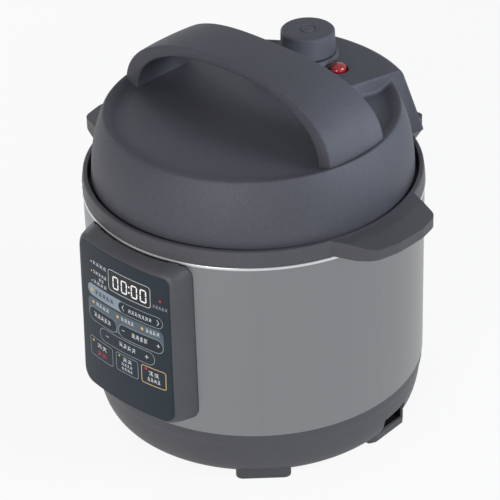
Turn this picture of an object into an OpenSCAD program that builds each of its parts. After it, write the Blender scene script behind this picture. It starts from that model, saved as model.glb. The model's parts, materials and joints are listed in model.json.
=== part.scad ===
// Electric pressure cooker, about 3 litres. Millimetres, +Z up, +Y to the rear, -Y the control panel.
// The origin is on the floor, under the axis of the pot.

/* [Body] */
// Outer radius of the steel wall
wall_r = 117.5; // [116:0.5:119]
// Height of the steel wall's lower edge above the floor
wall_bottom = 42; // [40:0.5:43]
// Height of the steel wall's upper edge
wall_top = 175.4; // [175:0.1:176]
// Height of the collar's rim
collar_top = 187.8; // [187:0.1:188]
// Reach of the side handles from the axis
handle_reach = 142; // [138:1:146]
// Reach of the rear bay from the axis
depth_reach = 128.5; // [127:0.5:130]

/* [Control panel] */
// Reach of the panel face's middle near its lower edge
face_low = 131.6; // [130:0.2:132]
// Reach of the panel face's middle near its upper edge
face_high = 128.8; // [127:0.2:130]

/* [Feet] */
// Height of the feet
foot_h = 5; // [4:0.5:6]
// Distance from the axis to a foot's middle
foot_reach = 96; // [92:1:98]

/* [Inner pot] */
// Inner radius of the cooking pot
pot_r = 96; // [94:0.5:97]
// Height of the pot's rim
pot_top = 176.5; // [176:0.1:176.6]
// Height of the pot's underside
pot_bottom = 52; // [51.5:0.1:53]

/* [Lid] */
// Height of the lid's crease, where the skirt meets the dish
crease_z = 230.6; // [228:0.2:233]
// Radius of the crease
crease_r = 101.4; // [99:0.2:102.4]
// Height of the carrying handle's crown
crown_z = 274; // [268:1:278]
// Number of bayonet lugs on the lid, and of teeth on the locking ring
lug_count = 6; // [4:1:6]
// Diameter of the steam weight's cap
weight_d = 38.6; // [34:0.2:40]

/* [Hidden] */
$fn = 96;
steel = "#8b8e90";
plastic = "#4b4c52";
dark = "#303237";
cast = "#a5a7a8";
rubber = "#55565a";
silicone = "#b9b6ae";
copper = "#9a6a3c";
board = "#1f5a38";
nonstick = "#2b2b2e";

deck_z = 237.5;          // top of the lid's rear deck
skirt_z = 184.6;         // lower edge of the lid's skirt
shelf_z = 176;           // underside of the collar's shelf
ring_r = 109;            // outer radius of the locking ring
tooth_z = 181;           // underside of the ring's teeth
lug_z = 178;             // underside of the lid's lugs
lug_arc = 24;            // angle covered by one lug
tooth_arc = 30;          // angle covered by one tooth
weight_xy = [-14, 72];   // axis of the steam weight
float_xy = [16, 70];     // axis of the float pin
face_r = 200;            // radius of the control panel's bowed face
base_r = wall_r - 0.5;   // outer radius of the base
panel_z = [50, 176];     // lower and upper edge of the panel housing
inlet_y = 20;            // middle of the power inlet along the right side

// ---------- shared outlines ----------

function unit(v) = v / norm(v);

// Arc of n+1 points that rounds the corner at p, between its neighbours a and b.
function corner(a, p, b, r, n = 6) =
    r == 0 ? [p] :
    let (u = unit(a - p), v = unit(b - p), turn = acos(u * v),
         c = p + unit(u + v) * r / sin(turn / 2),
         s = p + u * r / tan(turn / 2), e = p + v * r / tan(turn / 2),
         from = atan2(s[1] - c[1], s[0] - c[0]),
         to = atan2(e[1] - c[1], e[0] - c[0]),
         sweep = (to - from + 540) % 360 - 180)
    [for (i = [0:n]) c + r * [cos(from + sweep * i / n), sin(from + sweep * i / n)]];

// Polygon from [x, y, corner radius] triples.
function rounded(q) =
    let (m = len(q), at = function(i) [q[i % m][0], q[i % m][1]])
    [for (i = [0:m - 1]) each corner(at(i + m - 1), at(i), at(i + 1), q[i][2])];

// Quadratic curve through a and c, pulled towards b.
function curve(a, b, c, n = 10) =
    [for (i = [0:n]) let (t = i / n) (1 - t) * (1 - t) * a + 2 * t * (1 - t) * b + t * t * c];

// Solid of revolution from [r, z] points.
module turned(points) {
    rotate_extrude() polygon(points);
}

// Ring with a plain rectangular section.
module band(inner, outer, low, high) {
    turned([[inner, low], [outer, low], [outer, high], [inner, high]]);
}

// Wedge of the given angle about the axis, centred on direction a.
module sector(a, arc, radius, low, high) {
    translate([0, 0, low]) linear_extrude(high - low)
        polygon([[0, 0],
                 for (i = [0:6]) radius * [cos(a + arc * (i / 6 - 0.5)), sin(a + arc * (i / 6 - 0.5))]]);
}

module rounded_block(width, depth, height, r) {
    linear_extrude(height)
        polygon(rounded([[-width / 2, -depth / 2, r], [width / 2, -depth / 2, r],
                         [width / 2, depth / 2, r], [-width / 2, depth / 2, r]]));
}

module at_corners(reach, count = 4, first = 45) {
    for (i = [0:count - 1]) rotate(first + 360 / count * i) translate([reach, 0, 0]) children();
}

// ---------- base ----------

bowl = concat([[0, foot_h], [105.5, foot_h]],
              curve([105.5, foot_h], [114.4, foot_h + 2.5], [base_r - 0.8, 34], 12),
              [[base_r, 35.5], [base_r, wall_bottom]]);
bowl_inside = concat([[0, foot_h + 3], [103.5, foot_h + 3]],
                     curve([103.5, foot_h + 3], [111.4, foot_h + 6], [base_r - 3.6, 34], 8),
                     [[base_r - 3.4, wall_bottom + 6], [0, wall_bottom + 6]]);

module inlet_boss(grow, low, high, reach) {
    translate([0, 0, low]) linear_extrude(high - low)
        polygon(rounded([[84, -1 - grow, 0], [reach - 2.5, -1 - grow, 2], [reach, 4 - grow, 5],
                         [reach - 1.5, inlet_y + 14 + grow, 4], [reach - 6, inlet_y + 20 + grow, 3],
                         [84, inlet_y + 20 + grow, 0]]));
}

module base_shell() {
    color(plastic) difference() {
        union() {
            difference() {
                turned(bowl);
                turned(bowl_inside);
            }
            // step that locates the steel wall
            band(base_r - 3.4, base_r - 1.4, 34, wall_bottom + 4);
            difference() {
                inlet_boss(0, 1.2, 26, 108.6);
                inlet_boss(-2.5, 4.5, 23, 98);
            }
            // posts under the well and under the power board
            at_corners(86, 4, 30) translate([0, 0, foot_h + 1])
                cylinder(h = 40 - foot_h - 1, r = 4, $fn = 48);
            for (x = [-94, -68], y = [-26, 26]) translate([x, y, foot_h + 1])
                cylinder(h = 17 - foot_h, r = 3, $fn = 48);
        }
        at_corners(86, 4, 30) translate([0, 0, 26]) cylinder(h = 20, r = 1.45, $fn = 32);
        for (x = [-94, -68], y = [-26, 26]) translate([x, y, 12]) cylinder(h = 10, r = 1.2, $fn = 32);
        // mouth of the power inlet and the room for its body
        translate([86, inlet_y - 13, 6.5]) cube([40, 26, 14.5]);
        // rebate and opening closed by the bottom cover
        translate([0, 0, foot_h - 1]) cylinder(h = 2.6, r = 66);
        translate([0, 0, foot_h - 1]) cylinder(h = 6, r = 58);
        at_corners(62, 3, 90) translate([0, 0, foot_h - 1]) cylinder(h = 6, r = 1.45, $fn = 32);
        // cooling slots round the floor
        for (i = [1:16]) rotate(20 * i + 10) translate([72, -2, foot_h - 1]) cube([14, 4, 6]);
        at_corners(foot_reach) translate([0, 0, foot_h - 1]) cylinder(h = 6, r = 1.8, $fn = 32);
    }
}

module bottom_cover() {
    color(plastic) difference() {
        union() {
            translate([0, 0, foot_h]) cylinder(h = 1.6, r = 65.7);
            translate([0, 0, foot_h]) cylinder(h = 3.2, r = 57.7);
        }
        for (a = [-3:3], b = [-3:3]) if (norm([a, b]) < 3.7)
            translate([a * 13, b * 13, foot_h - 1]) cylinder(h = 8, r = 2.4, $fn = 24);
        at_corners(62, 3, 90) translate([0, 0, foot_h - 1]) cylinder(h = 6, r = 1.5, $fn = 32);
        at_corners(62, 3, 90) translate([0, 0, foot_h - 1]) cylinder(h = 1.8, r = 3.1, $fn = 32);
    }
}

// A foot is a moulded block whose outer face follows the bowl's edge.
module feet() {
    color(rubber) at_corners(foot_reach) difference() {
        translate([2, 0, 0]) rounded_block(22, 38, 14, 5);
        translate([2, 0, -1]) rounded_block(14, 26, 2, 3);
        // the top fits the bowl of the base
        translate([-foot_reach, 0, 0]) turned(bowl);
    }
    color(rubber) at_corners(foot_reach) translate([0, 0, foot_h - 1]) cylinder(h = 5, r = 1.7, $fn = 32);
}

// ---------- wall, collar and handles ----------

module panel_window(grow) {
    translate([-31 - grow, -wall_r - 5, 58 - grow]) cube([62 + 2 * grow, 30, 104 + 2 * grow]);
}

module outer_wall() {
    color(steel) difference() {
        union() {
            band(wall_r - 0.9, wall_r, wall_bottom + 0.1, wall_top);
            // rolled hem that shows as a bright line under the collar
            turned([[wall_r - 0.9, wall_top - 1.4], [wall_r, wall_top - 1.4], [wall_r + 0.5, wall_top - 1],
                    [wall_r + 0.5, wall_top - 0.4], [wall_r, wall_top], [wall_r - 0.9, wall_top]]);
        }
        panel_window(0);
    }
}

// Plan of one side handle, reaching out along +X.
handle_plan = rounded([[100, -42, 0], [109, -41, 5], [137.5, -30, 11], [handle_reach, -12, 20],
                       [handle_reach, 12, 20], [137.5, 30, 11], [109, 41, 5], [100, 42, 0]]);
// The same plan set in by a wall's thickness, for the hollow underneath.
handle_hollow = rounded([[118.5, -34, 3], [135, -27.6, 9], [handle_reach - 3, -11, 16],
                         [handle_reach - 3, 11, 16], [135, 27.6, 9], [118.5, 34, 3]]);
// Plan of the rear bay, reaching out along +Y.
bay_plan = rounded([[-54, 96, 0], [-52, 106, 6], [-44, depth_reach, 4.5],
                    [44, depth_reach, 4.5], [52, 106, 6], [54, 96, 0]]);
bay_hollow = rounded([[-49.5, 98, 0], [-49.2, 107, 3], [-42.2, depth_reach - 2, 2.5],
                      [42.2, depth_reach - 2, 2.5], [49.2, 107, 3], [49.5, 98, 0]]);
collar_low = 176.4;      // underside of the handles and of the bay

module collar() {
    color(plastic) difference() {
        union() {
            // rim wall, gutter and shelf in one turned profile
            turned([[ring_r + 0.4, shelf_z], [wall_r - 1.2, shelf_z], [wall_r - 1.2, wall_top],
                    [wall_r, wall_top], [wall_r + 0.2, wall_top + 6], [wall_r - 0.6, collar_top - 0.7],
                    [wall_r - 1.4, collar_top], [113.9, collar_top], [113.4, collar_top - 0.6],
                    [113.4, shelf_z + 3.4], [112.4, shelf_z + 2.2], [ring_r + 0.4, shelf_z + 1.8]]);
            // inner apron that clips inside the steel wall
            band(wall_r - 3.2, wall_r - 1.2, shelf_z - 8, shelf_z + 1);
            difference() {
                intersection() {
                    union() for (a = [0, 180]) rotate(a) translate([0, 0, collar_low])
                        linear_extrude(collar_top - collar_low) polygon(handle_plan);
                    // upper edge of the handles eases down towards the tip
                    turned([[0, collar_low], [130, collar_low], [150, collar_low + 4.5],
                            [150, collar_top - 2.2], [126, collar_top], [0, collar_top]]);
                }
                for (a = [0, 180]) rotate(a) translate([0, 0, collar_low - 1])
                    linear_extrude(collar_top - collar_low - 2.2) polygon(handle_hollow);
                translate([0, 0, 150]) cylinder(h = 60, r = wall_r - 1);
            }
            difference() {
                union() {
                    translate([0, 0, collar_low]) linear_extrude(collar_top - collar_low) polygon(bay_plan);
                    // rails that carry the dew cup
                    for (m = [0, 1]) mirror([m, 0, 0]) {
                        translate([28, 105, 170]) cube([2, 20, 7]);
                        translate([26, 105, 170]) cube([3, 20, 1.6]);
                    }
                }
                translate([0, 0, 150]) cylinder(h = collar_low + 0.4 - 150, r = wall_r + 0.7);
                translate([0, 0, 150]) cylinder(h = 60, r = wall_r - 1);
            }
        }
        // the bay is an open trough that drains through one hole into the dew cup
        translate([0, 0, collar_low + 2]) linear_extrude(20) polygon(bay_hollow);
        translate([0, 121.5, collar_low - 2]) cylinder(h = 8, r = 2.5, $fn = 32);
    }
}

// Closing plates under the side handles, with finger ribs.
module handle_underplates() {
    plan = rounded([[118.9, -33.5, 3], [134.7, -27.3, 9], [handle_reach - 3.3, -10.9, 16],
                    [handle_reach - 3.3, 10.9, 16], [134.7, 27.3, 9], [118.9, 33.5, 3]]);
    color(dark) for (a = [0, 180]) rotate(a) difference() {
        translate([0, 0, collar_low + 0.2]) linear_extrude(2) polygon(plan);
        for (y = [-20:10:20]) translate([121, y - 1.5, collar_low - 1]) cube([12, 3, 2.2]);
    }
}

// ---------- control panel ----------

// The face is a wide cylinder that leans out a little towards its lower edge.
face_lean = atan((face_low - face_high) / 110);
function face_y(x, z) = (z - 60) * tan(face_lean) - face_low + face_r - sqrt(face_r * face_r - x * x);

module face_solid(inset) {
    translate([0, face_r - face_low, 60]) rotate([-face_lean, 0, 0]) translate([0, 0, -60])
        cylinder(h = 260, r = face_r - inset, $fn = 360);
}

// Plan of the housing: cheeks that slant in from the steel wall towards the face.
function panel_plan(inset) =
    let (right = [[48.6 - inset, -88, 0], [48.6 - inset, -107, 3], [43.1 - inset, -136, 0]])
    rounded([right[0], right[1], right[2], [-right[2][0], right[2][1], 0], [-right[1][0], right[1][1], 3],
             [-right[0][0], right[0][1], 0]]);

// Front outline of the housing or of what lies in its face.
module front_outline(half, low, high, r_low, r_high, from_y, to_y, flare = 0) {
    translate([0, to_y, 0]) rotate([90, 0, 0]) linear_extrude(to_y - from_y)
        polygon(rounded([[-half - flare, low, r_low], [half + flare, low, r_low],
                         [half, high, r_high], [-half, high, r_high]]));
}

// Side view of the housing: the top and the bottom slope back to the wall.
module side_outline(grow) {
    translate([-80, 0, 0]) rotate([90, 0, 90]) linear_extrude(160)
        polygon(rounded([[-88, panel_z[0] + 2 - grow, 0], [-110, panel_z[0] - grow, 3],
                         [-136, panel_z[0] + 6.2 - grow, 0], [-136, panel_z[1] - 8 + grow, 0],
                         [-110, panel_z[1] + grow, 3], [-88, panel_z[1] + grow, 0]]));
}

module panel_housing() {
    color(plastic) difference() {
        intersection() {
            translate([0, 0, panel_z[0] - 2])
                linear_extrude(panel_z[1] - panel_z[0] + 4) polygon(panel_plan(0));
            front_outline(50, panel_z[0], panel_z[1], 14, 15, -140, -80);
            side_outline(0);
            face_solid(0);
        }
        translate([0, 0, 20]) cylinder(h = 180, r = wall_r + 0.05, $fn = 180);
        // clearance round the wall's hem
        translate([0, 0, wall_top - 2]) cylinder(h = 20, r = wall_r + 0.7, $fn = 180);
        // bed of the overlay
        intersection() {
            front_outline(42.4, 56.1, 168.9, 9, 5, -140, -100, 1.4);
            face_sheet(0.9, 4);
        }
        // room for the boards behind the face
        intersection() {
            translate([0, 0, 56]) linear_extrude(110) polygon(panel_plan(6));
            front_outline(36, 58.5, 165, 6, 6, -140, -80);
            face_solid(3.6);
        }
        // display opening
        translate([-11, -140, 138.5]) cube([38, 40, 22.5]);
        // key openings
        for (k = key_spots) translate([k[0], -110, k[1]]) rotate([90, 0, 0])
            cylinder(h = 30, r = 2.4, $fn = 24);
    }
}

// Sheet that follows the face, from depth inset to a thickness in front.
module face_sheet(inset, out) {
    difference() {
        face_solid(-out);
        face_solid(inset);
    }
}

key_spots = [[-19.5, 115.5], [1.5, 116.5], [28.5, 116.5], [1.5, 134], [28.5, 133],
             [-15, 103.2], [21.5, 103.4], [-22, 88.5], [4, 89], [27.5, 89]];

module panel_overlay() {
    color(dark) intersection() {
        front_outline(42.3, 56.2, 168.8, 9, 5, -140, -100, 1.4);
        face_sheet(0.8, 0);
    }
}

module display_module() {
    color(dark) translate([-10.5, -125.6, 139]) difference() {
        cube([37, 8.4, 21.5]);
        // digit cells
        for (i = [0, 1, 2.6, 3.6]) translate([4.2 + i * 6.4, -1, 4]) cube([5, 1.8, 13.5]);
    }
}

module control_board() {
    color(board) translate([0, -115.6, 0]) rotate([90, 0, 0]) translate([0, 0, 0]) linear_extrude(1.6)
        polygon(rounded([[-32, 62, 2], [32, 62, 2], [32, 160, 2], [-32, 160, 2]]));
}

module key_switches() {
    color(cast) for (k = key_spots) translate([k[0], -117.2, k[1]]) rotate([90, 0, 0]) {
        translate([-3, -3, 0]) cube([6, 6, 3.4]);
        cylinder(h = -118.4 - face_y(k[0], k[1]), r = 1.7, $fn = 24);
    }
}

// ---------- heated well ----------

module outer_pot() {
    color(steel) difference() {
        turned(concat([[40, 40], [94, 40]], curve([94, 40], [101.4, 40], [101.4, 48], 6),
                      [[101.4, 172.2], [112, 172.2], [112, 173.4], [100.2, 173.4], [100.2, 49]],
                      curve([100.2, 49], [100.2, 41.2], [93, 41.2], 6), [[40, 41.2]]));
        at_corners(66, 3, 90) translate([0, 0, 38]) cylinder(h = 6, r = 3.2, $fn = 32);
        at_corners(86, 4, 30) translate([0, 0, 38]) cylinder(h = 6, r = 1.6, $fn = 32);
        at_corners(110.6, 6, 15) translate([0, 0, 170]) cylinder(h = 6, r = 1, $fn = 24);
    }
}

// Bayonet ring: the lid's lugs pass down between its teeth and turn under them.
module lock_ring() {
    color(steel) {
        band(107.6, ring_r, 173.4, 184);
        difference() {
            band(104.2, 107.8, tooth_z, 184);
            for (i = [0:lug_count - 1])
                sector(i * 360 / lug_count, 360 / lug_count - tooth_arc, 125, tooth_z - 1, 186);
            // lead-in on the side where the lugs enter
            turned([[104, 182.9], [105.4, 184.3], [104, 184.3]]);
        }
        band(102.4, 107.8, 173.4, 174.2);
    }
}

module heat_insulation() {
    color(silicone) band(101.5, 104.5, 56, 168);
}

module heating_plate() {
    color(cast) difference() {
        union() {
            turned(concat([[14, 45.6], [80, 45.6]], curve([80, 45.6], [90, 45.8], [90, 49.4], 4),
                          [[85, 51.8], [14, 51.8]]));
            // the tube heater is cast in and stands out below as a bead
            translate([0, 0, 45.4]) rotate_extrude() translate([52, 0]) circle(r = 3.4, $fn = 32);
            at_corners(66, 3, 90) translate([0, 0, 35.4]) cylinder(h = 11, r = 3, $fn = 32);
        }
        translate([0, 0, 40]) cylinder(h = 20, r = 14);
    }
}

// Coil of round wire: tilted half turns that meet end to end.
module coil(r, wire, low, high, turns) {
    rise = (high - low - 2 * wire) / (2 * turns);
    tilt = asin(rise / 2 / r);
    for (i = [0:2 * turns - 1]) translate([0, 0, low + wire + rise * (i + 0.5)]) rotate(i % 2 * 180)
        rotate([0, tilt, 0]) rotate_extrude(angle = 180, $fn = 48)
            translate([r, 0]) circle(r = wire, $fn = 16);
}

module plate_springs() {
    color(steel) at_corners(66, 3, 90) coil(4.2, 0.45, 35.6, 40, 2);
}

module sensor_cap() {
    color(cast) difference() {
        union() {
            turned([[0, 43.6], [17, 43.6], [17, 45.2], [13.93, 45.2], [13.93, 51], [12.6, 52], [0, 52]]);
        }
        translate([0, 0, 42]) cylinder(h = 8, r = 11.6);
    }
}

module sensor_spring() {
    color(steel) coil(14, 0.6, 36, 43.6, 4);
}

// Bridge under the well that carries the sensor's spring.
module sensor_bridge() {
    color(steel) difference() {
        union() {
            translate([-46, -9, 38.8]) cube([14, 18, 1.2]);
            translate([32, -9, 38.8]) cube([14, 18, 1.2]);
            translate([-33.2, -9, 34.8]) cube([1.2, 18, 5.2]);
            translate([32, -9, 34.8]) cube([1.2, 18, 5.2]);
            translate([-33.2, -9, 34.8]) cube([66.4, 18, 1.2]);
            translate([0, 0, 34.8]) cylinder(h = 1.2, r = 17);
        }
        translate([0, 0, 30]) cylinder(h = 10, r = 4);
    }
}

module thermal_fuse() {
    color(cast) rotate(150) union() {
        translate([44, 0, 37.4]) rotate([0, 90, 0]) cylinder(h = 15, r = 2.4, $fn = 32);
        translate([47, -6, 38.8]) cube([8, 12, 1.2]);
    }
}

module power_board() {
    color(board) translate([-98, -30, 18]) difference() {
        cube([34, 60, 1.6]);
        for (x = [4, 30], y = [4, 56]) translate([x, y, -1]) cylinder(h = 4, r = 1.3, $fn = 24);
    }
}

module board_parts() {
    color(copper) {
        translate([-93, -12, 19.6]) cube([22, 24, 14]);
        translate([-85, 20, 19.6]) cylinder(h = 12, r = 5, $fn = 32);
        translate([-78, 15, 19.6]) cube([9, 8, 10]);
        translate([-90, -25, 19.6]) cube([16, 9, 9]);
    }
}

module power_inlet() {
    color(dark) difference() {
        translate([88, inlet_y - 12.8, 6.7]) cube([20, 25.6, 14]);
        translate([91, inlet_y - 10.8, 8.7]) cube([20, 21.6, 10]);
        for (y = [-5, 5]) translate([80, inlet_y + y, 13.7]) rotate([0, 90, 0])
            cylinder(h = 20, r = 1.7, $fn = 32);
    }
}

module inlet_pins() {
    color(cast) for (y = [-5, 5]) translate([82, inlet_y + y, 13.7]) rotate([0, 90, 0])
        cylinder(h = 21, r = 1.65, $fn = 32);
}

module screw(head_r, head_h, shank_r, length) {
    difference() {
        union() {
            cylinder(h = head_h, r = head_r, $fn = 32);
            cylinder(h = length, r = shank_r, $fn = 24);
        }
        for (a = [0, 90]) rotate(a) translate([-head_r * 0.55, -0.4, -0.5]) cube([head_r * 1.1, 0.8, 1]);
    }
}

module base_screws() {
    color(steel) at_corners(62, 3, 90) translate([0, 0, foot_h]) screw(3, 0.8, 1.4, 8);
}

module well_screws() {
    color(steel) at_corners(86, 4, 30) translate([0, 0, 42.6]) mirror([0, 0, 1]) screw(2.9, 1.4, 1.4, 14);
}

module dew_cup() {
    color([0.35, 0.35, 0.37]) difference() {
        union() {
            translate([0, 0, 130]) linear_extrude(45)
                polygon(rounded([[-25, 112, 0], [-25, depth_reach - 1, 5],
                                 [25, depth_reach - 1, 5], [25, 112, 0]]));
            // flanges that run in the rails
            translate([-27.6, 112, 172]) cube([55.2, depth_reach - 10.5 - 104, 1.4]);
        }
        translate([0, 0, 100]) cylinder(h = 100, r = wall_r + 0.8, $fn = 180);
        difference() {
            translate([0, 0, 131.8]) linear_extrude(60)
                polygon(rounded([[-23.2, 112, 0], [-23.2, depth_reach - 2.8, 4],
                                 [23.2, depth_reach - 2.8, 4], [23.2, 112, 0]]));
            translate([0, 0, 100]) cylinder(h = 100, r = wall_r + 2.6, $fn = 180);
        }
    }
}

// ---------- inner pot ----------

module inner_pot() {
    color(nonstick) difference() {
        turned(concat([[0, pot_bottom]], [[74, pot_bottom]],
                      curve([74, pot_bottom], [pot_r + 1.8, pot_bottom], [pot_r + 1.8, pot_bottom + 22], 8),
                      [[pot_r + 1.8, pot_top - 1.8], [pot_r + 5.6, pot_top - 1.8],
                       [pot_r + 6, pot_top - 0.9], [pot_r + 5.6, pot_top], [pot_r + 1.2, pot_top]],
                      curve([pot_r + 1.2, pot_top], [pot_r, pot_top], [pot_r, pot_top - 1.2], 3),
                      curve([pot_r, pot_bottom + 22], [pot_r, pot_bottom + 2], [74, pot_bottom + 2], 8),
                      [[0, pot_bottom + 2]]));
        // embossed fill lines
        for (z = [92, 116, 140]) sector_line(z);
    }
}

module sector_line(z) {
    translate([pot_r - 0.3, -9, z]) cube([0.8, 18, 0.8]);
}

// ---------- lid ----------

module inner_lid() {
    color(cast) difference() {
        turned(concat([[8, 187]], curve([8, 187], [60, 187], [88, 181.2], 8),
                      [[95.8, 181.2], [95.8, 178.6], [97.2, 178.6], [97.2, 182.4], [88.2, 182.4]],
                      curve([88.2, 182.4], [60, 188.4], [8, 188.4], 8)));
        translate([weight_xy[0], weight_xy[1], 170]) cylinder(h = 30, r = 8);
        translate([float_xy[0], float_xy[1], 170]) cylinder(h = 30, r = 5);
    }
}

module lid_gasket() {
    color(silicone) turned([[97.2, pot_top], [101.6, pot_top], [102.4, 177.8], [102.2, 179], [99.6, 179.6],
                            [99.6, 181.2], [102.2, 181.6], [102.2, 183], [97.2, 183]]);
}

module lid_grommet() {
    color(rubber) turned([[4.05, 185.4], [10.5, 185.4], [10.5, 186.9], [8, 187], [8, 188.4], [10.5, 188.5],
                          [9.5, 190.6], [4.05, 190.6]]);
}

skirt = curve([111, skirt_z], [110.2, 212], [crease_r + 0.8, crease_z - 1.8], 16);
dish = curve([crease_r - 2.6, crease_z - 0.2], [94.5, crease_z - 2.5], [84, crease_z - 2.6], 8);
dish_centre_z = crease_z - 1;

// Upper surface of the lid, from the skirt over the crease and down into the dish.
lid_outside = concat(skirt, [[crease_r, crease_z - 0.4], [crease_r - 0.8, crease_z + 0.2],
                             [crease_r - 1.8, crease_z + 0.2]],
                     dish, curve([84, crease_z - 2.6], [46, crease_z - 1.2], [0, dish_centre_z], 6));
lid_inside = concat([[0, dish_centre_z - 2.6]],
                    curve([0, dish_centre_z - 2.6], [46, crease_z - 3.8], [84, crease_z - 5.2], 6),
                    curve([84, crease_z - 5.2], [94, crease_z - 5.2], [crease_r - 4, crease_z - 4.4], 4),
                    curve([crease_r - 2.4, crease_z - 5], [107.6, 210], [108, skirt_z], 8));

// The rear deck narrows towards the handle; its end walls lean out a little as they go down.
deck_slope = 0.235;      // sideways run of a deck edge for each millimetre to the rear
deck_lean = 0.14;        // outward run of a side wall for each millimetre down
module deck_side(inset, low) {
    run = 240;
    translate([39.6, 60, 0]) rotate(-atan(deck_slope)) translate([0, run / 2, 0]) rotate([90, 0, 0])
        linear_extrude(run)
            polygon([[-160, low], [(deck_z - low) * deck_lean - inset, low], [-inset, deck_z],
                     [-inset, deck_z + 5], [-160, deck_z + 5]]);
}
module deck_volume(inset, low) {
    intersection() {
        turned([[20, low], [126.3 - inset, low], [112.4 - inset, deck_z - 4.5 - inset],
                each curve([112.4 - inset, deck_z - 4.5 - inset], [111 - inset, deck_z - inset],
                           [106 - inset, deck_z - inset], 5),
                [20, deck_z - inset]]);
        deck_side(inset, low);
        mirror([1, 0, 0]) deck_side(inset, low);
        translate([-80, 36 + inset, 150]) cube([160, 110, 110]);
    }
}

module lid_cover() {
    color(plastic) difference() {
        union() {
            difference() {
                turned(concat(lid_outside, lid_inside));
                deck_volume(2.4, 170);
            }
            difference() {
                deck_volume(0, collar_top + 1.2);
                deck_volume(2.4, 170);
                // the deck's body stops at the skirt and never fills the lid
                translate([0, 0, 150]) cylinder(h = crease_z - 150 - 6, r = 107.5);
            }
            // bosses for the pan's screws and for the handle's screws
            at_corners(60, 4, 45) translate([0, 0, 207.7]) cylinder(h = 19.5, r = 4.5, $fn = 48);
            for (a = [0, 180], y = [-12, 12]) rotate(a) translate([90, y, 214.1])
                cylinder(h = 13, r = 4.6, $fn = 48);
            // well round the float pin
            translate([float_xy[0], float_xy[1], 0]) band(7, 8.6, 222, deck_z - 0.5);
        }
        at_corners(60, 4, 45) translate([0, 0, 200]) cylinder(h = 22, r = 1.55, $fn = 32);
        translate([weight_xy[0], weight_xy[1], 200]) cylinder(h = 60, r = 17);
        translate([float_xy[0], float_xy[1], 200]) cylinder(h = 60, r = 7);
        for (a = [0, 180], y = [-12, 12]) rotate(a) translate([90, y, 200])
            cylinder(h = 60, r = 1.6, $fn = 32);
    }
}

// Arched band: an even arch seen from the front, waisted a little seen from above.
arch_power = 2.45;
function arch(half, height, low, n = 22) =
    [for (i = [0:n]) let (t = 180 * i / n)
        [half * sign(cos(t)) * pow(abs(cos(t)), 2 / arch_power),
         low + height * pow(max(sin(t), 0), 2 / arch_power)]];
arch_low = crease_z - 7.4;

module lid_handle() {
    color(plastic) difference() {
        intersection() {
            translate([0, 40, 0]) rotate([90, 0, 0]) linear_extrude(80)
                polygon(concat(arch(97.4, crown_z - arch_low, arch_low),
                               [for (p = arch(84.5, crown_z - 8.4 - arch_low, arch_low)) [-p[0], p[1]]]));
            linear_extrude(300) polygon(concat(
                [for (i = [-10:10]) let (x = i * 10) [x, -20.5 - 5.5 * pow(x / 98, 2)]],
                [for (i = [10:-1:-10]) let (x = i * 10) [x, 20.5 + 5.5 * pow(x / 98, 2)]]));
            // the feet follow the crease
            cylinder(h = 300, r = crease_r - 2.7);
        }
        // the feet are seated on the dish
        turned(concat([[0, 200]], [[crease_r + 2, 200]],
                      [[crease_r + 2, crease_z - 0.4], [crease_r - 2.4, crease_z - 0.4]], dish,
                      curve([84, crease_z - 2.6], [46, crease_z - 1.2], [0, dish_centre_z], 6)));
        for (a = [0, 180], y = [-12, 12]) rotate(a) translate([90, y, 200])
            cylinder(h = 40, r = 1.4, $fn = 32);
    }
}

module handle_screws() {
    color(steel) for (a = [0, 180], y = [-12, 12]) rotate(a) translate([90, y, 212.3])
        screw(3.4, 1.6, 1.35, 22);
}

// Pressed steel pan with the bayonet lugs, which bears the pressure.
// Flat seat raised from the pan: r wide, its top at the given height.
module seat(x, y, r, high) {
    translate([x, y, 196]) cylinder(h = high - 196, r = r, $fn = 64);
}
module seat_hollow(x, y, r, high) {
    translate([x, y, 170]) cylinder(h = high - 171.4, r = r - 1.4, $fn = 64);
}

module lid_pan() {
    seats = [[weight_xy[0], weight_xy[1], 10.4, 206.4], [float_xy[0], float_xy[1], 9.4, 206.4],
             for (a = [45:90:315]) [60 * cos(a), 60 * sin(a), 6, 207.6]];
    color(steel) difference() {
        union() {
            turned(concat([[4.1, 209]], curve([4.1, 209], [70, 209], [96, 193], 8),
                          curve([96, 193], [102.5, 190], [102.6, 184.6], 4),
                          [[102.6, lug_z], [103.8, lug_z]],
                          curve([103.8, 185], [103.8, 191], [96.6, 194.6], 4),
                          curve([96.6, 194.6], [70, 210.4], [4.1, 210.4], 8)));
            intersection() {
                band(103.4, 107.1, lug_z, lug_z + 2);
                union() for (i = [0:lug_count - 1])
                    sector((i + 0.5) * 360 / lug_count, lug_arc, 120, lug_z - 1, lug_z + 3);
            }
            for (q = seats) seat(q[0], q[1], q[2], q[3]);
        }
        for (q = seats) seat_hollow(q[0], q[1], q[2], q[3]);
        translate([weight_xy[0], weight_xy[1], 180]) cylinder(h = 40, r = 4.7);
        translate([float_xy[0], float_xy[1], 180]) cylinder(h = 40, r = 5.5);
        at_corners(60, 4, 45) translate([0, 0, 180]) cylinder(h = 40, r = 2, $fn = 32);
    }
}

module lid_stud() {
    color(steel) {
        translate([0, 0, 184]) cylinder(h = 31, r = 4, $fn = 64);
        translate([0, 0, 191]) cylinder(h = 17.9, r = 7, $fn = 64);
        translate([0, 0, 210.5]) cylinder(h = 3.4, r = 7.4, $fn = 6);
    }
}

module pan_screws() {
    color(steel) at_corners(60, 4, 45) translate([0, 0, 204.5]) screw(3.4, 1.6, 1.5, 17);
}

module weight_seat() {
    color(dark) translate([weight_xy[0], weight_xy[1], 0])
        turned([[11, 224], [16.9, 224], [16.9, deck_z + 0.1], [21.6, deck_z + 0.1], [21.5, deck_z + 1.8],
                [19.8, deck_z + 3.3], [17.4, deck_z + 3.3], [15.2, deck_z + 0.8], [11, deck_z + 0.8]]);
}

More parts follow.
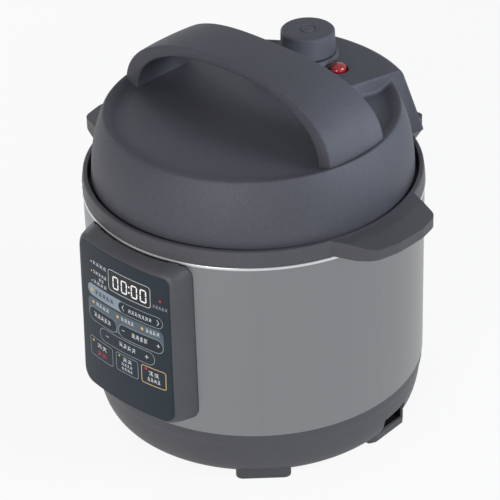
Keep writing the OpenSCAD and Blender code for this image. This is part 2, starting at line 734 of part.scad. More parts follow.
module vent_pipe() {
    color(cast) translate([weight_xy[0], weight_xy[1], 0]) difference() {
        union() {
            translate([0, 0, 191]) cylinder(h = 54, r = 4.6);
            translate([0, 0, 203.4]) cylinder(h = 1.5, r = 8);
            translate([0, 0, 206.5]) cylinder(h = 4, r = 8, $fn = 6);
        }
        translate([0, 0, 180]) cylinder(h = 70, r = 2);
    }
}

module clog_guard() {
    color(cast) translate([weight_xy[0], weight_xy[1], 0]) difference() {
        turned([[0, 190], [6.4, 190], [6.4, 196], [4.7, 196], [4.7, 190.9], [0, 190.9]]);
        for (a = [0:60:300]) rotate(a) translate([2.6, 0, 180]) cylinder(h = 20, r = 0.7, $fn = 16);
    }
}

module steam_weight() {
    r = weight_d / 2;
    color(plastic) translate([weight_xy[0], weight_xy[1], 0])
        turned(concat([[4.66, 241.8], [8, 241.8], [8, 249], [r - 2.4, 249], [r - 2, 241.4],
                       [r - 0.5, 241.4]], [[r, 242], [r - 0.5, 256]],
                      curve([r - 0.5, 256], [r - 0.6, 257.6], [r - 2.2, 257.8], 4),
                      [[5.6, 258], [5.3, 257.4], [4.7, 257.4], [4.4, 258], [0, 258], [0, 246],
                       [4.66, 246]]));
}

module float_guide() {
    color(steel) translate([float_xy[0], float_xy[1], 0])
        turned([[3, 197], [5.4, 197], [5.4, 206.5], [8, 206.5], [8, 208], [5.4, 208.2],
                [5.4, 213], [3, 213]]);
}

module float_pin() {
    color("#a31218") translate([float_xy[0], float_xy[1], 0])
        turned(concat([[0, 191.4], [2.95, 191.4], [2.95, 213.05], [5.9, 213.05], [5.9, 237.6]],
                      curve([5.9, 237.6], [5.7, 241.4], [0, 241.8], 6)));
}

module float_seal() {
    color(silicone) translate([float_xy[0], float_xy[1], 0])
        turned([[0, 189.8], [4.8, 189.8], [4.8, 192.4], [3, 193.6], [3, 191.3], [0, 191.3]]);
}

base_shell();
bottom_cover();
feet();
outer_wall();
collar();
handle_underplates();
panel_housing();
panel_overlay();
display_module();
control_board();
key_switches();
outer_pot();
lock_ring();
heat_insulation();
heating_plate();
plate_springs();
sensor_cap();
sensor_spring();
thermal_fuse();
power_board();
board_parts();
power_inlet();
inlet_pins();
sensor_bridge();
well_screws();
base_screws();
dew_cup();
inner_pot();
inner_lid();
lid_gasket();
lid_grommet();
lid_cover();
lid_handle();
handle_screws();
lid_pan();
lid_stud();
pan_screws();
weight_seat();
vent_pipe();
clog_guard();
steam_weight();
float_guide();
float_pin();
float_seal();
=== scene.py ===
import json
import math

import bmesh
import bpy
import numpy as np
from mathutils import Matrix, Vector


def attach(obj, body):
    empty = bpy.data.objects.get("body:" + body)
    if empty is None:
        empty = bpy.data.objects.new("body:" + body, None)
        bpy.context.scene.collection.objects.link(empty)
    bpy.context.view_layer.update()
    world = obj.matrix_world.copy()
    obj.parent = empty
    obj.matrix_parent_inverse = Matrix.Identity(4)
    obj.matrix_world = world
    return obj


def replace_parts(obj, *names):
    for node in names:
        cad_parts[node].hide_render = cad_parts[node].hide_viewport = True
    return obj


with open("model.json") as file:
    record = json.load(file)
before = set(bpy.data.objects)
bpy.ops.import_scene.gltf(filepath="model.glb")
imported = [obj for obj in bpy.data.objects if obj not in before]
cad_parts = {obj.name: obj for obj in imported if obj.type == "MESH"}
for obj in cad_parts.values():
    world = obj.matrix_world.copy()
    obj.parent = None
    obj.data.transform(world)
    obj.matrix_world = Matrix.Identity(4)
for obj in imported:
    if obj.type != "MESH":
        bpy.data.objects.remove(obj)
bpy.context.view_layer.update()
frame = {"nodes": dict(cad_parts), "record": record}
mm = 0.001
nodes = frame["nodes"]


# small helpers

def linked(name, data):
    obj = bpy.data.objects.new(name, data)
    bpy.context.scene.collection.objects.link(obj)
    return obj


def shadeSmooth(mesh):
    for poly in mesh.polygons:
        poly.use_smooth = True


def makeObject(name, mesh, body, material):
    obj = linked(name, mesh)
    mesh.materials.append(material)
    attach(obj, body)
    return obj


def meshFromLists(name, verts, faces, smooth=True):
    mesh = bpy.data.meshes.new(name)
    mesh.from_pydata([tuple(v) for v in verts], [], faces)
    mesh.validate()
    bm = bmesh.new()
    bm.from_mesh(mesh)
    bmesh.ops.remove_doubles(bm, verts=bm.verts, dist=1e-6)
    bmesh.ops.recalc_face_normals(bm, faces=bm.faces)
    bm.to_mesh(mesh)
    bm.free()
    for poly in mesh.polygons:
        poly.use_smooth = smooth
    return mesh


def spin(name, profile, segments, centre=(0, 0), closed=True):
    # profile is [[r, z], ...] in mm, turned about a vertical axis
    verts = []
    faces = []
    count = len(profile)
    for i in range(segments):
        a = 2 * math.pi * i / segments
        for r, z in profile:
            verts.append(((centre[0] + r * math.cos(a)) * mm, (centre[1] + r * math.sin(a)) * mm, z * mm))
    last = count if closed else count - 1
    for i in range(segments):
        j = (i + 1) % segments
        for k in range(last):
            m = (k + 1) % count
            if profile[k][0] < 1e-6 and profile[m][0] < 1e-6:
                continue
            faces.append((i * count + k, j * count + k, j * count + m, i * count + m))
    return meshFromLists(name, verts, faces)


def quadCurve(a, b, c, count):
    pts = []
    for i in range(count + 1):
        t = i / count
        pts.append([(1 - t) ** 2 * a[k] + 2 * t * (1 - t) * b[k] + t * t * c[k] for k in range(2)])
    return pts


def roundProfile(points, steps):
    # rounds each corner of a closed outline by the third number of its point
    out = []
    n = len(points)
    for i in range(n):
        p = Vector(points[i][:2])
        r = points[i][2]
        if r <= 0:
            out.append([p.x, p.y])
            continue
        a = Vector(points[i - 1][:2])
        b = Vector(points[(i + 1) % n][:2])
        u = a - p
        v = b - p
        lu, lv = u.length, v.length
        if lu < 1e-6 or lv < 1e-6:
            out.append([p.x, p.y])
            continue
        u /= lu
        v /= lv
        turn = math.acos(max(-1, min(1, u.dot(v))))
        if turn > math.radians(172) or turn < math.radians(4):
            out.append([p.x, p.y])
            continue
        cut = min(r / math.tan(turn / 2), lu * 0.48, lv * 0.48)
        out += quadCurve(p + u * cut, p, p + v * cut, steps)
    return out


def smoothByAngle(obj, degrees):
    shadeSmooth(obj.data)
    obj.data.set_sharp_from_angle(angle=math.radians(degrees))


def softCopy(nodeName, body, material, width, segments, angle):
    # the CAD solid with its edges eased, standing in for the node
    source = nodes[nodeName]
    mesh = source.data.copy()
    mesh.name = nodeName + "Soft"
    mesh.materials.clear()
    bm = bmesh.new()
    bm.from_mesh(mesh)
    bmesh.ops.remove_doubles(bm, verts=bm.verts, dist=2e-6)
    bmesh.ops.recalc_face_normals(bm, faces=bm.faces)
    bmesh.ops.dissolve_limit(bm, angle_limit=math.radians(0.6), verts=bm.verts, edges=bm.edges)
    bm.to_mesh(mesh)
    bm.free()
    obj = makeObject(nodeName + "Soft", mesh, body, material)
    bevel = obj.modifiers.new("ease", "BEVEL")
    bevel.width = width * mm
    bevel.segments = segments
    bevel.limit_method = "ANGLE"
    bevel.angle_limit = math.radians(angle)
    bevel.harden_normals = False
    bevel.use_clamp_overlap = True
    bevel.miter_outer = "MITER_ARC"
    smoothByAngle(obj, 40)
    weighted = obj.modifiers.new("weighted", "WEIGHTED_NORMAL")
    weighted.keep_sharp = True
    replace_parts(obj, nodeName)


# node trees, shader groups and materials

socketKinds = {int: "NodeSocketInt", float: "NodeSocketFloat", tuple: "NodeSocketColor",
               type(None): "NodeSocketMaterial"}


def newTree(kind, name, inputs, outputs):
    # each input is given by its default value, each output by its kind
    tree = bpy.data.node_groups.new(name, kind)
    for label, value in inputs.items():
        socket = tree.interface.new_socket(name=label, in_out="INPUT", socket_type=socketKinds[type(value)])
        if value is not None:
            socket.default_value = value
    for label, socketKind in outputs.items():
        tree.interface.new_socket(name=label, in_out="OUTPUT", socket_type=socketKind)
    return tree, tree.nodes.new("NodeGroupInput"), tree.nodes.new("NodeGroupOutput")


def feed(tree, node, sockets):
    # sockets gives each input its value, or the output that feeds it
    for label, value in sockets.items():
        if isinstance(value, bpy.types.NodeSocket):
            tree.links.new(value, node.inputs[label])
        else:
            node.inputs[label].default_value = value


def addNode(tree, kind, sockets=None, **settings):
    node = tree.nodes.new(kind)
    for key, value in settings.items():
        setattr(node, key, value)
    feed(tree, node, sockets or {})
    return node


def calculate(tree, operation, *terms):
    return addNode(tree, "ShaderNodeMath", dict(enumerate(terms)), operation=operation).outputs[0]


def combine(tree, **parts):
    return addNode(tree, "ShaderNodeCombineXYZ", parts).outputs[0]


textureOutputs = {"Color": "NodeSocketColor", "Roughness": "NodeSocketFloat", "Height": "NodeSocketFloat"}


def shadeBase(tree, entry, leave, shade, wear, height):
    # shade scales the base colour and wear the roughness
    base = entry.outputs["Base"]
    tint = addNode(tree, "ShaderNodeVectorMath", {0: base, "Scale": shade}, operation="SCALE")
    rough = calculate(tree, "MULTIPLY", entry.outputs["Roughness"], wear)
    feed(tree, leave, {"Color": tint.outputs[0], "Roughness": rough, "Height": height})
    return tree


def speckleGroup():
    # moulded spark texture: fine grains, broad mottling, and a height for the bump
    tree, entry, leave = newTree("ShaderNodeTree", "mouldTexture", {
        "Grain Size": 1600.0, "Grain Contrast": 0.3, "Base": (0.1, 0.1, 0.1, 1), "Roughness": 0.5},
        textureOutputs)
    place = addNode(tree, "ShaderNodeTexCoord").outputs["Object"]
    grain = addNode(tree, "ShaderNodeTexNoise", {
        "Vector": place, "Scale": entry.outputs["Grain Size"], "Detail": 3, "Roughness": 0.6}).outputs["Fac"]
    mottle = addNode(tree, "ShaderNodeTexNoise", {"Vector": place, "Scale": 28, "Detail": 4}).outputs["Fac"]
    wide = addNode(tree, "ShaderNodeMapRange", {
        "Value": mottle, "From Min": 0.3, "From Max": 0.7, "To Min": 0.94, "To Max": 1.06}).outputs["Result"]
    centred = calculate(tree, "SUBTRACT", grain, 0.5)
    fine = calculate(tree, "MULTIPLY_ADD", centred, entry.outputs["Grain Contrast"], 1)
    return shadeBase(tree, entry, leave, calculate(tree, "MULTIPLY", fine, wide), wide, grain)


def brushGroup():
    # metal grain that runs round the vertical axis, or along one axis
    tree, entry, leave = newTree("ShaderNodeTree", "brushedGrain", {
        "Round": 1.0, "Lines": 1400.0, "Contrast": 0.1, "Base": (0.5, 0.5, 0.5, 1), "Roughness": 0.35},
        textureOutputs)
    place = addNode(tree, "ShaderNodeTexCoord").outputs["Object"]
    x, y, z = addNode(tree, "ShaderNodeSeparateXYZ", {0: place}).outputs
    stretch = 0.02
    angle = calculate(tree, "MULTIPLY", calculate(tree, "ARCTAN2", y, x), stretch)
    flat = combine(tree, X=x, Y=y)
    radius = addNode(tree, "ShaderNodeVectorMath", {0: flat}, operation="LENGTH").outputs["Value"]
    ringed = combine(tree, X=angle, Y=radius, Z=z)
    straight = addNode(tree, "ShaderNodeVectorMath", {0: place, 1: (stretch, 1, 1)}, operation="MULTIPLY")
    pick = addNode(tree, "ShaderNodeMix", {
        "Factor": entry.outputs["Round"], "A": straight.outputs[0], "B": ringed}, data_type="VECTOR")
    lines = addNode(tree, "ShaderNodeTexNoise", {
        "Vector": pick.outputs["Result"], "Scale": entry.outputs["Lines"], "Detail": 4,
        "Roughness": 0.7}).outputs["Fac"]
    centred = calculate(tree, "SUBTRACT", lines, 0.5)
    fine = calculate(tree, "MULTIPLY_ADD", centred, entry.outputs["Contrast"], 1)
    return shadeBase(tree, entry, leave, fine, fine, lines)


mouldTexture = speckleGroup()
brushedGrain = brushGroup()


def newMaterial(name):
    material = bpy.data.materials.new(name)
    material.use_nodes = True
    return material, material.node_tree, material.node_tree.nodes["Principled BSDF"]


def texturedMaterial(name, texture, values, relief, surface):
    # relief is the bump's strength and distance, surface the other values of the shader
    material, tree, shader = newMaterial(name)
    look = addNode(tree, "ShaderNodeGroup", values, node_tree=texture).outputs
    bump = addNode(tree, "ShaderNodeBump", {
        "Strength": relief[0], "Distance": relief[1], "Height": look["Height"]})
    feed(tree, shader, {"Base Color": look["Color"], "Roughness": look["Roughness"],
                        "Normal": bump.outputs["Normal"], **surface})
    return material


def plasticMaterial(name, colour, rough, grain=1600, contrast=0.25, bump=0.25, shine=0.38, more=None):
    values = {"Grain Size": grain, "Grain Contrast": contrast, "Base": (*colour, 1), "Roughness": rough}
    surface = {"Specular IOR Level": shine, **(more or {})}
    return texturedMaterial(name, mouldTexture, values, (bump, 0.0002), surface)


def metalMaterial(name, colour, rough, roundness=1.0, lines=1400, contrast=0.12, bump=0.1):
    values = {
        "Round": roundness, "Lines": lines, "Contrast": contrast, "Base": (*colour, 1), "Roughness": rough}
    return texturedMaterial(name, brushedGrain, values, (bump, 0.0001), {"Metallic": 1})


def inkMaterial(name, colour, rough=0.4, contrast=0.06):
    return plasticMaterial(name, colour, rough, grain=2400, contrast=contrast, bump=0.03)


lidPlastic = plasticMaterial("lidPlastic", (0.074, 0.075, 0.091), rough=0.56, grain=1350, contrast=1.1,
                             bump=0.55)
bodyPlastic = plasticMaterial("bodyPlastic", (0.073, 0.073, 0.082), rough=0.48, grain=1350, contrast=0.8,
                              bump=0.45)
blackPlastic = plasticMaterial("blackPlastic", (0.012, 0.012, 0.014), rough=0.45)
footRubber = plasticMaterial("footRubber", (0.07, 0.071, 0.078), rough=0.7, grain=900, contrast=0.3)
silicone = plasticMaterial("silicone", (0.55, 0.53, 0.48), rough=0.5, grain=500, contrast=0.08, bump=0.05)
cupPlastic = plasticMaterial("cupPlastic", (0.06, 0.061, 0.068), rough=0.25, grain=900, contrast=0.1,
                             bump=0.05)
wallSteel = metalMaterial("wallSteel", (0.25, 0.257, 0.268), rough=0.36, lines=2200, contrast=0.1, bump=0.12)
# steel for the wall's rolled hem, polished and painted much lighter than the wall's steel: part of its
# lightness is a painted highlight along the hem
hemHighlightSteel = metalMaterial("hemHighlightSteel", (0.68, 0.69, 0.7), rough=0.28)
panSteel = metalMaterial("panSteel", (0.62, 0.62, 0.62), rough=0.24, lines=900, contrast=0.14)
wireSteel = metalMaterial("wireSteel", (0.5, 0.5, 0.5), rough=0.3, roundness=0.0)
castMetal = metalMaterial("castMetal", (0.6, 0.6, 0.6), rough=0.42, lines=700, contrast=0.2)
brassMetal = metalMaterial("brassMetal", (0.75, 0.62, 0.35), rough=0.28, roundness=0.0)
copperMetal = metalMaterial("copperMetal", (0.6, 0.27, 0.12), rough=0.4, roundness=0.0, lines=2600,
                            contrast=0.3)
boardGreen = plasticMaterial("boardGreen", (0.02, 0.16, 0.07), rough=0.3, grain=300, contrast=0.15,
                             bump=0.05)
potCoating = plasticMaterial("potCoating", (0.03, 0.03, 0.033), rough=0.36, grain=2400, contrast=1.2,
                             bump=0.15)
felt = plasticMaterial("felt", (0.68, 0.66, 0.6), rough=0.95, grain=700, contrast=0.4, bump=0.8)
filmSheet = plasticMaterial("filmSheet", (0.016, 0.026, 0.037), rough=0.45, grain=2600, contrast=0.1,
                            bump=0.03, shine=0.25)
filmDark = plasticMaterial("filmDark", (0.013, 0.021, 0.03), rough=0.45, grain=2600, contrast=0.1,
                           bump=0.03, shine=0.25)
inkPlate = inkMaterial("inkPlate", (0.27, 0.34, 0.4), rough=0.45, contrast=0.12)
inkBand = inkMaterial("inkBand", (0.085, 0.118, 0.145), rough=0.42, contrast=0.12)
inkPale = inkMaterial("inkPale", (0.72, 0.75, 0.77), rough=0.5)
inkGrey = inkMaterial("inkGrey", (0.38, 0.42, 0.45), rough=0.5)
inkAmber = inkMaterial("inkAmber", (0.85, 0.5, 0.16))
inkRed = inkMaterial("inkRed", (0.55, 0.03, 0.045))
inkGreen = inkMaterial("inkGreen", (0.3, 0.5, 0.16))
inkGold = inkMaterial("inkGold", (0.66, 0.5, 0.24))
displayBlack = plasticMaterial("displayBlack", (0.006, 0.005, 0.006), rough=0.16, grain=900, contrast=0.05,
                               bump=0.0)
displayLit = plasticMaterial("displayLit", (0.85, 0.86, 0.88), rough=0.4, grain=2400, contrast=0.04,
                             bump=0.0, more={"Emission Color": (1, 1, 1, 1), "Emission Strength": 0.3})
floatRed = plasticMaterial("floatRed", (0.3, 0.004, 0.008), rough=0.1, grain=300, contrast=0.06,
                           bump=0.0, more={"Coat Weight": 1, "Coat Roughness": 0.03})


# which material each slot of the frame gets
slotMaterials = {
    "body_plastic": bodyPlastic, "lid_plastic": lidPlastic, "black_plastic": blackPlastic,
    "foot_rubber": footRubber, "wall_steel": wallSteel, "well_steel": panSteel, "pan_steel": panSteel,
    "inner_lid_steel": panSteel, "spring_steel": wireSteel, "screw_steel": wireSteel,
    "switch_metal": wireSteel, "sensor_metal": castMetal, "cast_aluminium": castMetal,
    "vent_metal": castMetal, "cup_plastic": cupPlastic, "board_green": boardGreen,
    "copper_parts": copperMetal, "pin_brass": brassMetal, "pot_coating": potCoating,
    "silicone": silicone, "insulation": felt, "panel_film": filmSheet, "float_red": floatRed,
}
for sub in frame["record"]["subparts"]:
    chosen = slotMaterials.get(sub["material_slot"])
    if chosen is not None:
        obj = nodes[sub["node"]]
        for place in obj.material_slots:
            place.material = chosen
        smoothByAngle(obj, 30)
print("stage: materials", len(bpy.data.materials))


# the lid's cover: one moulded skin in which the rear deck grows out of the skirt and the dish

lidShape = {
    "deckTop": 237.5, "deckFoot": 189, "deckFront": 36, "edgeX": 40.3, "edgeY": 60, "edgeRun": 0.235,
    "lean": 0.175, "rearReach": 111.6, "rearLevel": 233, "rearSlope": (0.9536, 0.3013),
    "topRear": 5.0, "topSide": 1.8, "topFront": 4.0, "dishBlend": 2.4, "skirtBlend": 7.0,
    "blendFrom": 98, "blendRun": 8, "footFade": 6, "skirtFoot": 184.6,
    "weightHole": [-14, 72, 17], "floatHole": [16, 70, 7], "holeFoot": 224, "step": 1.15,
    "tableReach": 136, "tableFoot": 176, "tableTop": 246, "tableStep": 0.25,
}


def lidProfile():
    skirt = quadCurve((111, 184.6), (110.2, 212), (102.2, 228.8), 24)
    crease = quadCurve((102.2, 228.8), (101.3, 231.0), (100.3, 230.85), 8)[1:]
    cove = quadCurve((100.3, 230.85), (98.2, 230.5), (93.8, 228.3), 8)[1:]
    cove += quadCurve((93.8, 228.3), (90.6, 226.6), (85, 226.9), 8)[1:]
    return skirt + crease + cove + quadCurve((85, 226.9), (52, 229.2), (0, 229.6), 14)[1:]


def profileTable(profile):
    # signed distance to the turned outline, on a fine grid of radius and height
    rs = np.arange(0, lidShape["tableReach"], lidShape["tableStep"])
    zs = np.arange(lidShape["tableFoot"], lidShape["tableTop"], lidShape["tableStep"])
    gridR, gridZ = np.meshgrid(rs, zs, indexing="ij")
    best = np.full(gridR.shape, 1e9)
    inside = np.zeros(gridR.shape, dtype=bool)
    # closed well below the grid
    ring = profile + [[0, 120], [profile[0][0], 120]]
    for i in range(len(ring)):
        ax, az = ring[i - 1]
        bx, bz = ring[i]
        if 0 < i < len(profile):
            dx, dz = bx - ax, bz - az
            t = np.clip(((gridR - ax) * dx + (gridZ - az) * dz) / (dx * dx + dz * dz + 1e-12), 0, 1)
            best = np.minimum(best, np.hypot(gridR - ax - t * dx, gridZ - az - t * dz))
        crosses = (az > gridZ) != (bz > gridZ)
        at = ax + (gridZ - az) * (bx - ax) / (bz - az + 1e-12)
        inside ^= crosses & (gridR < at)
    return np.where(inside, -best, best)


def smoothMin(a, b, k):
    h = np.maximum(k - np.abs(a - b), 0) / k
    return np.minimum(a, b) - h * h * k * 0.25


def smoothMax(a, b, k):
    return -smoothMin(-a, -b, k)


def lidField(table):
    shape = lidShape
    step = shape["tableStep"]

    def field(p):
        x, y, z = p[..., 0], p[..., 1], p[..., 2]
        r = np.hypot(x, y)
        u = np.clip(r / step, 0, table.shape[0] - 1.001)
        v = np.clip((z - shape["tableFoot"]) / step, 0, table.shape[1] - 1.001)
        i, j = u.astype(int), v.astype(int)
        fu, fv = u - i, v - j
        skin = (table[i, j] * (1 - fu) * (1 - fv) + table[i + 1, j] * fu * (1 - fv)
                + table[i, j + 1] * (1 - fu) * fv + table[i + 1, j + 1] * fu * fv)
        outward, upward = shape["rearSlope"]
        rear = (r - shape["rearReach"]) * outward + (z - shape["rearLevel"]) * upward
        top = z - shape["deckTop"]
        side = np.abs(x) - shape["edgeX"] - (y - shape["edgeY"]) * shape["edgeRun"]
        side -= (shape["deckTop"] - z) * shape["lean"]
        side = side / math.sqrt(1 + shape["edgeRun"] ** 2 + shape["lean"] ** 2)
        deck = smoothMax(smoothMax(rear, top, shape["topRear"]), side, shape["topSide"])
        deck = smoothMax(deck, shape["deckFront"] - y, shape["topFront"])
        deck = np.maximum(deck, shape["deckFoot"] - z)
        outer = np.clip((r - shape["blendFrom"]) / shape["blendRun"], 0, 1)
        blend = shape["dishBlend"] + (shape["skirtBlend"] - shape["dishBlend"]) * outer
        fading = np.maximum(blend * (z - shape["deckFoot"]) / shape["footFade"], 0.05)
        blend = np.where(z < shape["deckFoot"] + shape["footFade"], fading, blend)
        whole = smoothMin(skin, deck, blend)
        whole = np.maximum(whole, shape["skirtFoot"] - z)
        for cx, cy, hole in (shape["weightHole"], shape["floatHole"]):
            whole = np.maximum(whole, hole - np.hypot(x - cx, y - cy))
        return whole
    return field


def surfaceOf(field, low, high, step):
    # one vertex for each cell that the surface crosses, drawn on to the surface itself
    axes = [np.arange(low[k], high[k] + step, step) for k in range(3)]
    grid = field(np.stack(np.meshgrid(*axes, indexing="ij"), axis=-1))
    inside = grid < 0
    count = np.zeros([n - 1 for n in inside.shape], dtype=np.int8)
    for dx in (0, 1):
        for dy in (0, 1):
            for dz in (0, 1):
                count += inside[dx:dx + count.shape[0], dy:dy + count.shape[1], dz:dz + count.shape[2]]
    crossed = (count > 0) & (count < 8)
    number = np.full(count.shape, -1)
    number[crossed] = np.arange(int(crossed.sum()))
    cells = np.argwhere(crossed)
    middle = np.array(low) + (cells + 0.5) * step
    points = middle.copy()
    small = 0.02
    for _ in range(8):
        value = field(points)
        steps = np.eye(3) * small
        slope = np.stack([(field(points + d) - field(points - d)) / (2 * small) for d in steps], axis=-1)
        points -= slope * (value / (np.sum(slope * slope, axis=-1) + 1e-9))[:, None] * 0.8
        points = np.clip(points, middle - step * 0.75, middle + step * 0.75)
    faces = []
    for axis in range(3):
        a, b = [k for k in range(3) if k != axis]
        near = [slice(None)] * 3
        far = [slice(None)] * 3
        near[axis] = slice(0, -1)
        far[axis] = slice(1, None)
        change = inside[tuple(near)] != inside[tuple(far)]
        at = np.argwhere(change)
        for side in (a, b):
            at = at[(at[:, side] > 0) & (at[:, side] < inside.shape[side] - 1)]
        corners = []
        for da, db in ((0, 0), (1, 0), (1, 1), (0, 1)):
            shifted = at.copy()
            shifted[:, a] -= da
            shifted[:, b] -= db
            corners.append(number[shifted[:, 0], shifted[:, 1], shifted[:, 2]])
        quads = np.stack(corners, axis=1)
        flip = inside[at[:, 0], at[:, 1], at[:, 2]] == (axis == 1)
        quads[flip] = quads[flip][:, ::-1]
        faces.append(quads)
    return points, np.concatenate(faces), slope


def meshOfField(name, points, quads, slope):
    used = np.unique(quads)
    renumber = np.full(len(points), -1)
    renumber[used] = np.arange(len(used))
    mesh = bpy.data.meshes.new(name)
    mesh.from_pydata((points[used] * mm).tolist(), [], renumber[quads].tolist())
    mesh.update()
    shadeSmooth(mesh)
    normals = slope[used] / (np.linalg.norm(slope[used], axis=1)[:, None] + 1e-9)
    mesh.normals_split_custom_set_from_vertices(normals.tolist())
    return mesh


def buildLidShell():
    shape = lidShape
    field = lidField(profileTable(lidProfile()))
    low = (-114.2, -114.2, 182.0)
    high = (114.2, 129.0, 240.5)
    points, quads, slope = surfaceOf(field, low, high, shape["step"])
    centre = points[quads].mean(axis=1)
    drop = points[quads][:, :, 2].max(axis=1) < shape["skirtFoot"] + 0.5
    for cx, cy, hole in (shape["weightHole"], shape["floatHole"]):
        away = np.hypot(centre[:, 0] - cx, centre[:, 1] - cy)
        drop |= (away < hole + 1) & (centre[:, 2] < shape["holeFoot"])
    quads = quads[~drop]
    shell = meshOfField("lidShell", points, quads, slope)
    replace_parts(makeObject("lidShell", shell, "lid", lidPlastic), "lid_cover")
    # inside of the skirt and of the dish, with the rim that closes it
    inner = quadCurve((107.9, 185.2), (107.6, 210), (99.0, 225.6), 12)
    inner += quadCurve((97.4, 226.2), (92, 225.4), (84, 225.4), 4)
    inner += quadCurve((84, 225.4), (46, 226.8), (30, 226.9), 5)[1:]
    rim = [[110.93, 186], [110.93, 185.0], [110.5, 184.6], [108.3, 184.6]] + inner
    lining = spin("lidLining", rim, segments=144, closed=False)
    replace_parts(makeObject("lidLining", lining, "lid", lidPlastic), "lid_cover")


# the carrying handle: a crowned band swept along its arch

handleShape = {"outerHalf": 97.4, "innerHalf": 84.5, "top": 274, "underside": 265.6, "foot": 223.2,
               "power": 2.45, "width": 20.5, "flare": 5.5, "flareReach": 98, "crown": 0.9, "edge": 1.7,
               "underEdge": 1.6, "reach": 98.6, "stations": 120}


def cornerArc(kind, side, turn, count):
    # one quarter of a circle, begun so many quarters round
    angles = [math.pi / 2 * turn + math.pi / 2 * k / (count - 1) for k in range(count)]
    return [(kind, side, math.cos(a), math.sin(a)) for a in angles]


def buildHandle():
    s = handleShape
    stations = s["stations"]
    edge, under, crown = s["edge"], s["underEdge"], s["crown"]
    # right edge, top, left edge, underside; the first number runs across, the second from inside to outside
    section = cornerArc("edge", 1, 0, 7)
    section += [("top", 1 - 2 * k / 12, 0, 0) for k in range(1, 12)]
    section += cornerArc("edge", -1, 1, 7) + cornerArc("under", -1, 2, 5)
    section += [("flat", -1 + 2 * k / 6, 0, 0) for k in range(1, 6)]
    section += cornerArc("under", 1, 3, 5)
    verts = []
    power = 2 / s["power"]
    for i in range(stations + 1):
        t = math.pi * i / stations
        c, h = math.cos(t), max(math.sin(t), 0)
        flat = math.copysign(abs(c) ** power, c)
        outer = Vector((s["outerHalf"] * flat, s["foot"] + (s["top"] - s["foot"]) * h ** power))
        inner = Vector((s["innerHalf"] * flat, s["foot"] + (s["underside"] - s["foot"]) * h ** power))
        thick = (outer - inner).length
        away = (outer - inner) / thick
        for kind, side, ca, sa in section:
            half = s["width"] + s["flare"] * (outer.x / s["flareReach"]) ** 2
            if kind == "edge":
                across = side * (half - edge) + ca * edge
                out = thick - crown - edge + sa * edge
            elif kind == "top":
                across = side * (half - edge)
                out = thick - crown * side * side
            elif kind == "under":
                across = side * (half - under) + ca * under
                out = under + sa * under
            else:
                across = side * (half - under)
                out = 0
            place = inner + away * out
            x, y = place.x, across
            reach = math.hypot(x, y)
            if reach > s["reach"]:
                x, y = x * s["reach"] / reach, y * s["reach"] / reach
            verts.append((x * mm, y * mm, place.y * mm))
    faces = []
    count = len(section)
    for i in range(stations):
        for k in range(count):
            m = (k + 1) % count
            faces.append((i * count + k, i * count + m, (i + 1) * count + m, (i + 1) * count + k))
    faces.append(tuple(range(count)))
    faces.append(tuple(stations * count + k for k in reversed(range(count))))
    obj = makeObject("lidHandle", meshFromLists("lidHandle", verts, faces), "lid", lidPlastic)
    smoothByAngle(obj, 46)
    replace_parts(obj, "lid_handle")


buildLidShell()
buildHandle()
print("stage: lid skin and handle")


# the other moulded parts: the CAD solids with their edges eased

softCopy("collar", "cooker_body", bodyPlastic, width=0.9, segments=3, angle=24)
softCopy("base_shell", "cooker_body", bodyPlastic, width=0.5, segments=2, angle=30)
softCopy("feet", "cooker_body", footRubber, width=0.8, segments=3, angle=30)


# a hollow cap with a boss over the vent pipe, and a shallow ring cut in its top
steamWeight = {"radius": 19.3, "bore": 4.66, "foot": 241.4, "top": 257.9}
# the collar let into the deck under the weight, with a raised brim
weightSeat = {"bore": 11, "neck": 16.9, "brim": 21.6, "foot": 224, "top": 240.8}
# glossy red indicator with a domed cap
floatPin = {"radius": 5.9, "stem": 2.95, "foot": 191.4, "shoulder": 213.05, "crown": 236.4, "top": 241.8}


def buildWeight():
    r, bore, top = steamWeight["radius"], steamWeight["bore"], steamWeight["top"]
    profile = [[bore, 241.8, 0], [8, 241.8, 0.5], [8, 249, 0.5], [r - 2.4, 249, 0.4], [r - 2, 241.6, 0.4],
               [r - 0.6, steamWeight["foot"], 0.5], [r, 242.2, 0.8], [r - 0.4, 256.7, 0.7],
               [r - 1.7, top, 0.7], [6.1, top, 0.3], [5.8, 257.2, 0.2], [5.0, 257.2, 0.2], [4.7, top, 0.3],
               [0, top, 0], [0, 246, 0], [bore, 246, 0]]
    mesh = spin("steamWeight", roundProfile(profile, steps=4), 128, lidShape["weightHole"][:2])
    obj = makeObject("steamWeight", mesh, "weight", lidPlastic)
    smoothByAngle(obj, 50)
    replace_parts(obj, "steam_weight")


def buildSeat():
    bore, neck, top = weightSeat["bore"], weightSeat["neck"], weightSeat["top"]
    profile = [[bore, weightSeat["foot"], 0], [neck, weightSeat["foot"], 0], [neck, 237.6, 0.2],
               [weightSeat["brim"], 237.55, 0.4], [21.5, 239.3, 0.7], [19.9, top, 0.7], [17.4, top, 0.6],
               [15.2, 238.3, 0.5], [bore, 238.3, 0.3]]
    mesh = spin("weightSeat", roundProfile(profile, steps=4), 128, lidShape["weightHole"][:2])
    obj = makeObject("weightSeat", mesh, "lid", lidPlastic)
    smoothByAngle(obj, 50)
    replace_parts(obj, "weight_seat")


def buildFloat():
    r, stem, shoulder = floatPin["radius"], floatPin["stem"], floatPin["shoulder"]
    profile = [[0, floatPin["foot"]], [stem, floatPin["foot"]], [stem, shoulder], [r, shoulder],
               [r, floatPin["crown"]]]
    profile += quadCurve((r, 236.8), (r, floatPin["top"]), (0, floatPin["top"]), 14)
    mesh = spin("floatPin", profile, 72, lidShape["floatHole"][:2])
    obj = makeObject("floatPin", mesh, "float", floatRed)
    smoothByAngle(obj, 50)
    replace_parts(obj, "float_pin")


buildWeight()
buildSeat()
buildFloat()
print("stage: eased solids")


# the housing of the control panel: one soft block on the steel wall, its face a leaning bowed sheet

